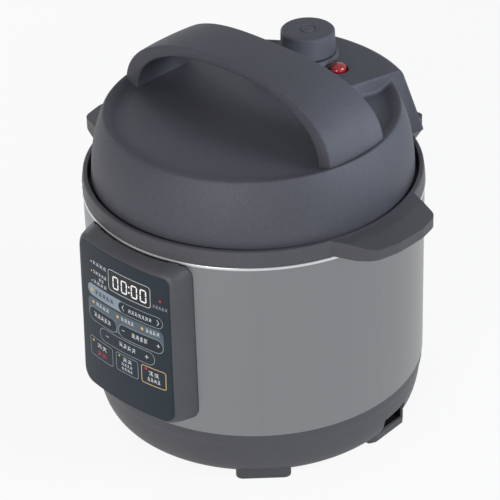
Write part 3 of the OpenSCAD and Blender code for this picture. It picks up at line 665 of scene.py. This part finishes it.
# each slope is its rise, its run and the length of the two together
panelShape = {"faceRadius": 200, "faceHalf": 60, "lowReach": 131.6, "highReach": 128.8, "leanFrom": 60,
              "leanRun": 110, "low": 50, "high": 176, "half": 48.6, "cheekReach": 107, "backReach": 110,
              "cheekSlope": (29, 5.5, 29.52), "topSlope": (26, 8, 27.2), "footSlope": (26, 6.2, 26.73),
              "slopeBlend": 3, "inset": 0.35, "edge": 3.0, "corner": 12.0, "wallRadius": 117.4,
              "hemRadius": 118.5, "hemFoot": 173.6, "step": 0.9}


def faceY(x, z):
    s = panelShape
    lean = (s["lowReach"] - s["highReach"]) / s["leanRun"]
    bow = np.sqrt(s["faceRadius"] ** 2 - x * x)
    return (z - s["leanFrom"]) * lean - s["lowReach"] + s["faceRadius"] - bow


def flank(past, depth, slope):
    # an upright or level side that leans in towards the front
    rise, run, length = slope
    return smoothMax((past * rise - depth * run) / length, past, panelShape["slopeBlend"])


def housingField(p):
    s = panelShape
    x, y, z = np.abs(p[..., 0]), p[..., 1], p[..., 2]
    face = faceY(np.minimum(x, s["faceHalf"]), z) + s["inset"] - y
    cheek = flank(x - s["half"], y + s["cheekReach"], s["cheekSlope"])
    top = flank(z - s["high"], y + s["backReach"], s["topSlope"])
    bottom = flank(s["low"] - z, y + s["backReach"], s["footSlope"])
    sides = smoothMax(cheek, np.maximum(top, bottom), s["corner"])
    block = smoothMax(face, sides, s["edge"])
    hollow = np.where(z > s["hemFoot"], s["hemRadius"], s["wallRadius"]) - np.hypot(x, y)
    return np.maximum(block, hollow)


def buildHousing():
    points, quads, slope = surfaceOf(housingField, (-51, -133, 47.5), (51, -98, 178.5), panelShape["step"])
    centre = points[quads].mean(axis=1)
    hidden = np.hypot(centre[:, 0], centre[:, 1]) < panelShape["wallRadius"] + 0.15
    mesh = meshOfField("panelHousing", points, quads[~hidden], slope)
    obj = makeObject("panelHousing", mesh, "cooker_body", bodyPlastic)
    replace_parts(obj, "panel_housing")


buildHousing()
print("stage: panel housing")


# the control film: a dark sheet on the face, with its print in thin raised ink

film = {"half": 42.3, "flare": 1.4, "low": 56.2, "high": 168.8, "lowCorner": 9, "highCorner": 5,
        "inset": 0.16, "line": 0.38, "inkStep": 0.04}


def facePoint(x, z, inset):
    return (x * mm, (float(faceY(x, z)) + inset) * mm, z * mm)


def filmHalf(z):
    s = film
    share = (s["high"] - z) / (s["high"] - s["low"])
    half = s["half"] + s["flare"] * share
    for edge, corner in ((z - s["low"], s["lowCorner"]), (s["high"] - z, s["highCorner"])):
        if edge < corner:
            half -= corner - math.sqrt(max(corner ** 2 - (corner - edge) ** 2, 0))
    return half


def buildFilm():
    s = film
    levels = []
    for k in range(11):
        levels.append(s["low"] + s["lowCorner"] * (1 - math.cos(math.pi / 2 * k / 10)))
    straight = s["high"] - s["low"] - s["lowCorner"] - s["highCorner"]
    for k in range(1, 12):
        levels.append(s["low"] + s["lowCorner"] + straight * k / 12)
    for k in range(11):
        levels.append(s["high"] - s["highCorner"] * (1 - math.sin(math.pi / 2 * k / 10)))
    columns = 56
    verts = []
    for z in levels:
        half = filmHalf(z)
        verts += [facePoint(-half + 2 * half * i / columns, z, s["inset"]) for i in range(columns + 1)]
    faces = []
    for row in range(len(levels) - 1):
        for i in range(columns):
            a = row * (columns + 1) + i
            faces.append((a, a + 1, a + columns + 2, a + columns + 1))
    mesh = bpy.data.meshes.new("panelFilm")
    mesh.from_pydata(verts, [], faces)
    shadeSmooth(mesh)
    obj = makeObject("panelFilm", mesh, "cooker_body", filmSheet)
    thick = obj.modifiers.new("thickness", "SOLIDIFY")
    thick.thickness = 0.5 * mm
    thick.offset = -1
    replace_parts(obj, "panel_overlay")


def newInk(name, material, level):
    # level says how far up the stack of inks this one lies
    inset = film["inset"] - film["inkStep"] * level
    return {"name": name, "material": material, "inset": inset, "verts": [], "faces": []}


def strip(ink, first, second, closed=True):
    start = len(ink["verts"])
    n = len(first)
    for a, b in zip(first, second):
        ink["verts"].append(facePoint(a[0], a[1], ink["inset"]))
        ink["verts"].append(facePoint(b[0], b[1], ink["inset"]))
    for i in range(n if closed else n - 1):
        j = (i + 1) % n
        ink["faces"].append((start + 2 * i, start + 2 * j, start + 2 * j + 1, start + 2 * i + 1))


def roundedLoop(x0, z0, x1, z1, r, split):
    loop = []
    corners = ((x1 - r, z0 + r, 270, (x1, z1 - r)), (x1 - r, z1 - r, 0, (x0 + r, z1)),
               (x0 + r, z1 - r, 90, (x0, z0 + r)), (x0 + r, z0 + r, 180, (x1 - r, z0)))
    for cx, cz, start, goal in corners:
        for k in range(7):
            a = math.radians(start + 15 * k)
            loop.append((cx + r * math.cos(a), cz + r * math.sin(a)))
        lastX, lastZ = loop[-1]
        for k in range(1, split):
            loop.append((lastX + (goal[0] - lastX) * k / split, lastZ + (goal[1] - lastZ) * k / split))
    return loop


def inkOutline(ink, x0, z0, x1, z1, r, width=None):
    w = width or film["line"]
    split = max(2, int((x1 - x0) / 3))
    inner = roundedLoop(x0 + w, z0 + w, x1 - w, z1 - w, max(r - w, 0.05), split)
    strip(ink, roundedLoop(x0, z0, x1, z1, r, split), inner)


def inkFill(ink, x0, z0, x1, z1, r):
    # columns from left to right, so that wide shapes follow the bow
    count = max(8, int((x1 - x0) / 0.7))
    low = []
    high = []
    for k in range(count + 1):
        x = x0 + (x1 - x0) * (0.5 - 0.5 * math.cos(math.pi * k / count))
        edge = max(0.0, r - (x - x0), r - (x1 - x))
        drop = r - math.sqrt(max(r * r - edge * edge, 0))
        low.append((x, z0 + drop))
        high.append((x, z1 - drop))
    strip(ink, low, high, closed=False)


def inkBar(ink, x0, z0, x1, z1, width):
    dx, dz = x1 - x0, z1 - z0
    length = math.hypot(dx, dz) or 1
    nx, nz = -dz / length * width / 2, dx / length * width / 2
    steps = max(1, int(length / 3))
    ends = [(x0 + dx * k / steps, z0 + dz * k / steps) for k in range(steps + 1)]
    strip(ink, [(x + nx, z + nz) for x, z in ends], [(x - nx, z - nz) for x, z in ends], closed=False)


def inkDot(ink, x, z, r):
    start = len(ink["verts"])
    for k in range(16):
        a = 2 * math.pi * k / 16
        ink["verts"].append(facePoint(x + r * math.cos(a), z + r * math.sin(a), ink["inset"]))
    ink["faces"].append(tuple(range(start, start + 16)))


def inkSigns(ink, x0, x1, z, size, count, seed):
    # a caption of small strokes that spell nothing
    rng = np.random.default_rng(seed)
    pitch = (x1 - x0) / count
    w = pitch * 0.86
    thick = size * 0.11
    for i in range(count):
        left = x0 + i * pitch
        stem = left + w * rng.uniform(0.3, 0.7)
        for level in (rng.uniform(0.82, 0.95), rng.uniform(0.5, 0.66)):
            start = left + w * rng.uniform(0, 0.2)
            inkBar(ink, start, z + size * level, left + w * rng.uniform(0.8, 1), z + size * level, thick)
        inkBar(ink, stem, z + size * rng.uniform(0.2, 0.45), stem, z + size, thick)
        for near, far, drop in ((0, 0.12, 0.15), (0.85, 1, 0.2)):
            end = left + w * rng.uniform(near, far)
            inkBar(ink, stem, z + size * 0.5, end, z + size * rng.uniform(0, drop), thick)
        for _ in range(2):
            x = left + w * rng.uniform(0.1, 0.8)
            level = z + size * rng.uniform(0.1, 0.4)
            inkBar(ink, x, level, x + w * 0.2, level + size * rng.uniform(-0.08, 0.08), thick)


def buildInk(ink):
    mesh = bpy.data.meshes.new(ink["name"])
    mesh.from_pydata(ink["verts"], [], ink["faces"])
    bm = bmesh.new()
    bm.from_mesh(mesh)
    bm.faces.ensure_lookup_table()
    bm.normal_update()
    bmesh.ops.reverse_faces(bm, faces=[f for f in bm.faces if f.normal.y > 0])
    bm.to_mesh(mesh)
    bm.free()
    makeObject(ink["name"], mesh, "cooker_body", ink["material"])


def inkDigit(ink, x, z, width, height, thick):
    # a nought of six lit segments
    gap = 0.28
    mid = z + height / 2
    for level in (z + thick / 2, z + height - thick / 2):
        inkBar(ink, x + thick * 0.75, level, x + width - thick * 0.75, level, thick)
    for side in (x + thick / 2, x + width - thick / 2):
        inkBar(ink, side, z + thick * 0.9, side, mid - gap, thick)
        inkBar(ink, side, mid + gap, side, z + height - thick * 0.9, thick)


def buildPrint():
    inks = [newInk(*each) for each in (
        ("inkPlate", inkPlate, 1), ("inkBand", inkBand, 1), ("displayWindow", displayBlack, 1),
        ("inkKeyFill", filmDark, 2), ("inkPale", inkPale, 3), ("inkGrey", inkGrey, 3),
        ("inkDark", filmDark, 3), ("inkAmber", inkAmber, 3), ("inkRed", inkRed, 3),
        ("inkGreen", inkGreen, 3), ("inkGold", inkGold, 3), ("displayDigits", displayLit, 3))]
    plate, band, window, keyFill, pale, grey, dark, amber, red, green, gold, lit = inks

    # clock window
    inkFill(window, -11, 142.4, 27.3, 158.8, 2.6)
    inkOutline(pale, -11.1, 142.3, 27.4, 158.9, 2.7, 0.42)
    for x in (-6.6, 1.4, 10.6, 18.4):
        inkDigit(lit, x, 145, 5.6, 10, 0.98)
    inkDot(lit, 8.8, 152.2, 0.7)
    inkDot(lit, 8.8, 147.9, 0.7)

    # lamps with their captions
    for z, count, seed in ((154.6, 4, 3), (147.4, 5, 4), (139.8, 4, 5)):
        inkSigns(pale, -27.4, -12.6, z, 2.9, count, seed)
    inkSigns(pale, -21.5, -15.5, 143.8, 2.6, 2, 6)
    inkDot(amber, -29.4, 155.8, 0.75)
    inkDot(amber, -29.3, 148.6, 0.75)
    inkDot(pale, -29.2, 141, 0.6)
    inkDot(red, 35.2, 151, 1.0)
    inkSigns(grey, 29, 41, 144.2, 2.5, 5, 7)

    # upper row: pale plate that runs into the arrow key
    inkFill(plate, -34.6, 129, 4, 138.2, 4.55)
    inkFill(keyFill, -2.4, 128.9, 36.8, 138, 4.5)
    inkOutline(grey, -2.4, 128.9, 36.8, 138, 4.5)
    inkDot(amber, -29.9, 133.4, 1.35)
    inkSigns(dark, -26.4, -6.2, 131.6, 3.6, 5, 8)
    inkSigns(pale, 7.2, 28.2, 131.6, 3.1, 7, 9)
    for x, way in ((1.6, 1), (33.6, -1)):
        inkBar(pale, x, 133.4, x + 1.6 * way, 135.6, 0.5)
        inkBar(pale, x, 133.4, x + 1.6 * way, 131.2, 0.5)

    # middle row: two keys on a grey band
    inkFill(band, -35, 110.5, 37, 127.6, 5)
    inkFill(keyFill, -34.4, 109.2, -4.2, 120.2, 5.4)
    inkFill(keyFill, -2.8, 109.2, 36.8, 120.0, 5.3)
    inkOutline(grey, -34.4, 109.2, -4.2, 120.2, 5.4)
    inkOutline(grey, -2.8, 109.2, 36.8, 120.0, 5.3)
    for x, x0, x1, seed in ((-28.9, -25.8, -11.4, 10), (-3.2, 0.2, 12.4, 11), (19.4, 22.6, 34.2, 12)):
        inkDot(amber, x, 124.1, 1.15)
        inkSigns(pale, x0, x1, 122.4, 3.2, 4, seed)
    inkSigns(pale, -28.6, -10, 112.8, 3.9, 5, 13)
    inkSigns(pale, 9.4, 24.2, 113, 3.9, 4, 14)
    inkBar(pale, 0.4, 115.2, 3.2, 115.2, 0.5)
    inkBar(pale, 31.2, 115.2, 34, 115.2, 0.5)
    inkBar(pale, 32.6, 113.8, 32.6, 116.6, 0.5)

    # lower row
    inkOutline(grey, -22.8, 97.4, 29.4, 108, 5.2)
    inkSigns(pale, -2.8, 13.2, 101, 3.9, 4, 15)
    inkBar(pale, -16.2, 103, -13.2, 103, 0.5)
    inkBar(pale, 21, 103, 24, 103, 0.5)
    inkBar(pale, 22.5, 101.5, 22.5, 104.5, 0.5)

    # three square keys
    inkOutline(grey, -34.6, 80.4, -9.8, 95.4, 2)
    inkOutline(grey, -6.5, 81.2, 14.5, 95.6, 2)
    inkOutline(gold, 17.3, 81.4, 38.2, 95.8, 2, 0.6)
    inkDot(amber, -30.8, 92.6, 1.0)
    inkDot(green, -3.2, 93.4, 1.0)
    inkDot(red, 21.4, 93.4, 1.1)
    inkSigns(pale, -26.4, -15.4, 88.6, 3.9, 2, 16)
    inkSigns(red, -26.2, -16, 82.6, 4.2, 2, 17)
    inkSigns(pale, 0.4, 9.4, 90, 3.6, 2, 18)
    inkSigns(pale, -1.2, 9.6, 86.6, 2.5, 4, 19)
    inkSigns(pale, -1.2, 9.6, 83.2, 2.5, 4, 20)
    inkSigns(pale, 23.6, 33, 88.8, 3.9, 2, 21)
    inkSigns(pale, 22.4, 33.6, 84, 3.4, 4, 22)
    for ink in inks:
        buildInk(ink)


buildFilm()
buildPrint()
print("stage: control film")


# Geometry Nodes trees for what repeats, or follows a path or a wall

def newGeometryTree(name, settings):
    # the settings of the piece are the tree's named inputs
    inputs = {**settings, "Material": None}
    return newTree("GeometryNodeTree", name, inputs, {"Geometry": "NodeSocketGeometry"})


def moved(tree, geometry, **places):
    return addNode(tree, "GeometryNodeTransform", {"Geometry": geometry, **places}).outputs[0]


def repeated(tree, points, piece, **more):
    sockets = {"Points": points, "Instance": piece, **more}
    return addNode(tree, "GeometryNodeInstanceOnPoints", sockets).outputs[0]


def realized(tree, geometry):
    return addNode(tree, "GeometryNodeRealizeInstances", {"Geometry": geometry}).outputs[0]


def painted(tree, entry, leave, geometry):
    sockets = {"Geometry": realized(tree, geometry), "Material": entry.outputs["Material"]}
    feed(tree, leave, {"Geometry": addNode(tree, "GeometryNodeSetMaterial", sockets).outputs[0]})
    return tree


def grow(name, tree, values, body, material):
    # runs the tree once and keeps what it makes as a plain mesh
    obj = linked(name, bpy.data.meshes.new(name + "Start"))
    modifier = obj.modifiers.new("nodes", "NODES")
    modifier.node_group = tree
    settings = {**values, "Material": material}
    for item in tree.interface.items_tree:
        if item.in_out == "INPUT" and item.name in settings:
            modifier[item.identifier] = settings[item.name]
    graph = bpy.context.evaluated_depsgraph_get()
    mesh = bpy.data.meshes.new_from_object(obj.evaluated_get(graph))
    mesh.name = name
    obj.modifiers.remove(modifier)
    obj.data = mesh
    smoothByAngle(obj, 40)
    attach(obj, body)


# a rolled ring: a rounded strip led round a circle
hemRing = {"Radius": 117.6 * mm, "Height": 175.45 * mm, "Width": 1.1 * mm, "Depth": 2.1 * mm,
           "Rounding": 0.4 * mm}


def ringTree():
    tree, entry, leave = newGeometryTree("rolledRing", hemRing)
    given = entry.outputs
    path = addNode(tree, "GeometryNodeCurvePrimitiveCircle", {"Resolution": 220, "Radius": given["Radius"]})
    outline = addNode(tree, "GeometryNodeCurvePrimitiveQuadrilateral", {
        "Width": given["Width"], "Height": given["Depth"]})
    eased = addNode(tree, "GeometryNodeFilletCurve", {
        "Count": 4, "Curve": outline.outputs[0], "Radius": given["Rounding"]}, mode="POLY")
    swept = addNode(tree, "GeometryNodeCurveToMesh", {
        "Curve": path.outputs[0], "Profile Curve": eased.outputs[0]})
    lifted = moved(tree, swept.outputs[0], Translation=combine(tree, Z=given["Height"]))
    return painted(tree, entry, leave, lifted)


# beads set round a circle: the spot welds that hold the locking ring on the well's flange
ringWelds = {"Count": 24, "Radius": 105.9 * mm, "Height": 174.2 * mm, "Bead Radius": 1.15 * mm,
             "Bead Height": 0.35 * mm}


def beadTree():
    tree, entry, leave = newGeometryTree("beadsOnRing", ringWelds)
    given = entry.outputs
    circle = addNode(tree, "GeometryNodeMeshCircle", {"Vertices": given["Count"], "Radius": given["Radius"]})
    places = moved(tree, circle.outputs[0], Translation=combine(tree, Z=given["Height"]))
    ball = addNode(tree, "GeometryNodeMeshUVSphere", {"Segments": 20, "Rings": 10, "Radius": 1})
    wide = given["Bead Radius"]
    bead = moved(tree, ball.outputs[0], Scale=combine(tree, X=wide, Y=wide, Z=given["Bead Height"]))
    return painted(tree, entry, leave, repeated(tree, places, bead))


# rims set on a square grid inside a round field: the collars of the vent holes in the bottom cover
ventRims = {"Pitch": 13 * mm, "Across": 7, "Field": 47 * mm, "Height": 5.0 * mm, "Rim Radius": 2.85 * mm,
            "Rim Wire": 0.45 * mm}


def rimTree():
    tree, entry, leave = newGeometryTree("rimsOnGrid", ventRims)
    given = entry.outputs
    span = calculate(tree, "MULTIPLY", calculate(tree, "SUBTRACT", given["Across"], 1), given["Pitch"])
    grid = addNode(tree, "GeometryNodeMeshGrid", {
        "Size X": span, "Size Y": span, "Vertices X": given["Across"], "Vertices Y": given["Across"]})
    place = addNode(tree, "GeometryNodeInputPosition").outputs[0]
    reach = addNode(tree, "ShaderNodeVectorMath", {0: place}, operation="LENGTH").outputs["Value"]
    outside = calculate(tree, "GREATER_THAN", reach, given["Field"])
    trimmed = addNode(tree, "GeometryNodeDeleteGeometry", {
        "Geometry": grid.outputs["Mesh"], "Selection": outside}, domain="POINT")
    lifted = moved(tree, trimmed.outputs[0], Translation=combine(tree, Z=given["Height"]))
    hoops = []
    for label, steps in (("Rim Radius", 24), ("Rim Wire", 8)):
        hoop = addNode(tree, "GeometryNodeCurvePrimitiveCircle", {
            "Resolution": steps, "Radius": given[label]})
        hoops.append(hoop.outputs[0])
    rim = addNode(tree, "GeometryNodeCurveToMesh", {"Curve": hoops[0], "Profile Curve": hoops[1]})
    return painted(tree, entry, leave, repeated(tree, lifted, rim.outputs[0]))


# ticks up a round wall, each bent to it: the fill scale inside the cooking pot
fillScale = {"Count": 13, "Wall Radius": 95.98 * mm, "Lowest": 80 * mm, "Pitch": 6 * mm,
             "Tick Width": 7 * mm, "Tick Height": 0.7 * mm, "Tick Depth": 0.16 * mm}


def scaleTree():
    tree, entry, leave = newGeometryTree("ticksOnWall", fillScale)
    given = entry.outputs
    ladder = addNode(tree, "GeometryNodeMeshLine", {
        "Count": given["Count"], "Start Location": combine(tree, Z=given["Lowest"]),
        "Offset": combine(tree, Z=given["Pitch"])})
    size = combine(tree, X=given["Tick Depth"], Y=given["Tick Width"], Z=given["Tick Height"])
    bar = addNode(tree, "GeometryNodeMeshCube", {"Vertices Y": 12, "Size": size})
    # every fourth tick is twice as wide
    index = addNode(tree, "GeometryNodeInputIndex").outputs[0]
    isLong = calculate(tree, "LESS_THAN", calculate(tree, "MODULO", index, 4), 0.5)
    widen = combine(tree, X=1, Y=calculate(tree, "ADD", isLong, 1), Z=1)
    flat = realized(tree, repeated(tree, ladder.outputs[0], bar.outputs["Mesh"], Scale=widen))
    # wraps the flat ladder on to the wall
    place = addNode(tree, "GeometryNodeInputPosition").outputs[0]
    x, y, z = addNode(tree, "ShaderNodeSeparateXYZ", {0: place}).outputs
    wall = given["Wall Radius"]
    angle = calculate(tree, "DIVIDE", y, wall)
    radius = calculate(tree, "ADD", x, wall)
    across = calculate(tree, "MULTIPLY", radius, calculate(tree, "SINE", angle))
    along = calculate(tree, "MULTIPLY", radius, calculate(tree, "COSINE", angle))
    bent = addNode(tree, "GeometryNodeSetPosition", {
        "Geometry": flat, "Position": combine(tree, X=across, Y=along, Z=z)})
    return painted(tree, entry, leave, bent.outputs[0])


# the hem's lighter steel paints a bright highlight line along the top of the steel wall
grow("wallHem", ringTree(), hemRing, "cooker_body", hemHighlightSteel)
grow("ringWelds", beadTree(), ringWelds, "cooker_body", panSteel)
grow("ventRims", rimTree(), ventRims, "cooker_body", bodyPlastic)
grow("fillScale", scaleTree(), fillScale, "pot", inkPale)
print("stage: repeated pieces")


# floor, light and camera

studio = {"azimuth": 44.5, "elevation": 31.44, "roll": -1.7, "distance": 1.6286, "target": (0, 0, 0.1356),
          "lens": 168.3, "shift": (-0.01, -0.0457), "aim": (0, 0, 0.14)}


# each lamp is aimed at the middle of the cooker from its own azimuth and elevation
lamps = {
    "rightBack": {"azimuth": 112, "elevation": 30, "distance": 1.4, "size": 0.5, "power": 9,
                  "colour": (0.82, 0.91, 1.0)},
    "frontKey": {"azimuth": 20, "elevation": 18, "distance": 1.8, "size": 0.6, "power": 14.5,
                 "colour": (1.0, 0.985, 0.98)},
    "leftBack": {"azimuth": -105, "elevation": 17, "distance": 1.3, "size": 0.35, "power": 2.2,
                 "colour": (0.9, 0.95, 1.0)},
}
# a narrow lamp that picks out the deck's side and the handle's end
sideSpot = {"start": (1.1, -0.25, 0.42), "goal": (0.07, 0.035, 0.248), "angle": 6.6, "softness": 0.04,
            "power": 44, "colour": (0.78, 0.89, 1.0)}


def towards(azimuth, elevation):
    # from the cooker out to a lamp or the camera
    a = math.radians(azimuth)
    e = math.radians(elevation)
    return Vector((math.sin(a) * math.cos(e), -math.cos(a) * math.cos(e), math.sin(e)))


def placeCamera():
    a = math.radians(studio["azimuth"])
    roll = math.radians(studio["roll"])
    back = towards(studio["azimuth"], studio["elevation"])
    right = Vector((math.cos(a), math.sin(a), 0))
    up = back.cross(right)
    turnedRight = math.cos(roll) * right + math.sin(roll) * up
    turnedUp = math.cos(roll) * up - math.sin(roll) * right
    place = Vector(studio["target"]) + back * studio["distance"]
    data = bpy.data.cameras.new("camera")
    data.lens = studio["lens"]
    data.sensor_width = 36
    data.shift_x, data.shift_y = studio["shift"]
    data.clip_start = 0.05
    camera = linked("camera", data)
    camera.matrix_world = Matrix((
        (turnedRight.x, turnedUp.x, back.x, place.x),
        (turnedRight.y, turnedUp.y, back.y, place.y),
        (turnedRight.z, turnedUp.z, back.z, place.z),
        (0, 0, 0, 1)))
    bpy.context.scene.camera = camera


def hangLamp(name, kind, place, direction, power, colour):
    # shines back along its direction
    data = bpy.data.lights.new(name, kind)
    data.energy = power
    data.color = colour
    lamp = linked(name, data)
    lamp.location = place
    lamp.rotation_euler = direction.to_track_quat("Z", "Y").to_euler()
    return data


def addLight(name, azimuth, elevation, distance, size, power, colour):
    direction = towards(azimuth, elevation)
    place = Vector(studio["aim"]) + direction * distance
    data = hangLamp(name, "AREA", place, direction, power, colour)
    data.shape = "SQUARE"
    data.size = size


def addSpot(name, start, goal, angle, softness, power, colour):
    data = hangLamp(name, "SPOT", start, Vector(start) - Vector(goal), power, colour)
    data.spot_size = math.radians(angle)
    data.spot_blend = 1
    data.shadow_soft_size = softness


def mixShaders(tree, factor, first, second, target):
    mix = addNode(tree, "ShaderNodeMixShader", {0: factor, 1: first, 2: second})
    feed(tree, tree.nodes[target], {"Surface": mix.outputs[0]})


def buildFloor():
    # pale paper that the camera and reflections see as nearly white
    corners = [(-4, -4, 0), (4, -4, 0), (4, 4, 0), (-4, 4, 0)]
    mesh = meshFromLists("floor", corners, [(0, 1, 2, 3)], smooth=False)
    floor = linked("floor", mesh)
    material, tree, shader = newMaterial("paper")
    feed(tree, shader, {"Base Color": (0.82, 0.82, 0.82, 1), "Roughness": 0.9, "Specular IOR Level": 0.1})
    glow = addNode(tree, "ShaderNodeEmission", {"Color": (1, 1, 1, 1), "Strength": 1.0})
    path = addNode(tree, "ShaderNodeLightPath").outputs
    seen = calculate(tree, "MAXIMUM", path["Is Camera Ray"], path["Is Glossy Ray"])
    share = calculate(tree, "MULTIPLY", seen, 0.9)
    mixShaders(tree, share, shader.outputs[0], glow.outputs[0], "Material Output")
    mesh.materials.append(material)


def buildWorld():
    # a soft sky for the light, white for the camera
    world = bpy.data.worlds.new("studioWorld")
    bpy.context.scene.world = world
    world.use_nodes = True
    tree = world.node_tree
    sky = tree.nodes["Background"]
    feed(tree, sky, {"Color": (0.92, 0.95, 1, 1), "Strength": 0.32})
    white = addNode(tree, "ShaderNodeBackground", {"Color": (1, 1, 1, 1), "Strength": 1})
    path = addNode(tree, "ShaderNodeLightPath").outputs
    seen = calculate(tree, "MULTIPLY_ADD", path["Is Glossy Ray"], 0.35, path["Is Camera Ray"])
    mixShaders(tree, seen, sky.outputs[0], white.outputs[0], "World Output")


placeCamera()
buildFloor()
buildWorld()
for name, lamp in lamps.items():
    addLight(name, **lamp)
addSpot("sideSpot", **sideSpot)
bpy.context.scene.view_settings.view_transform = "Standard"
print("stage: studio")
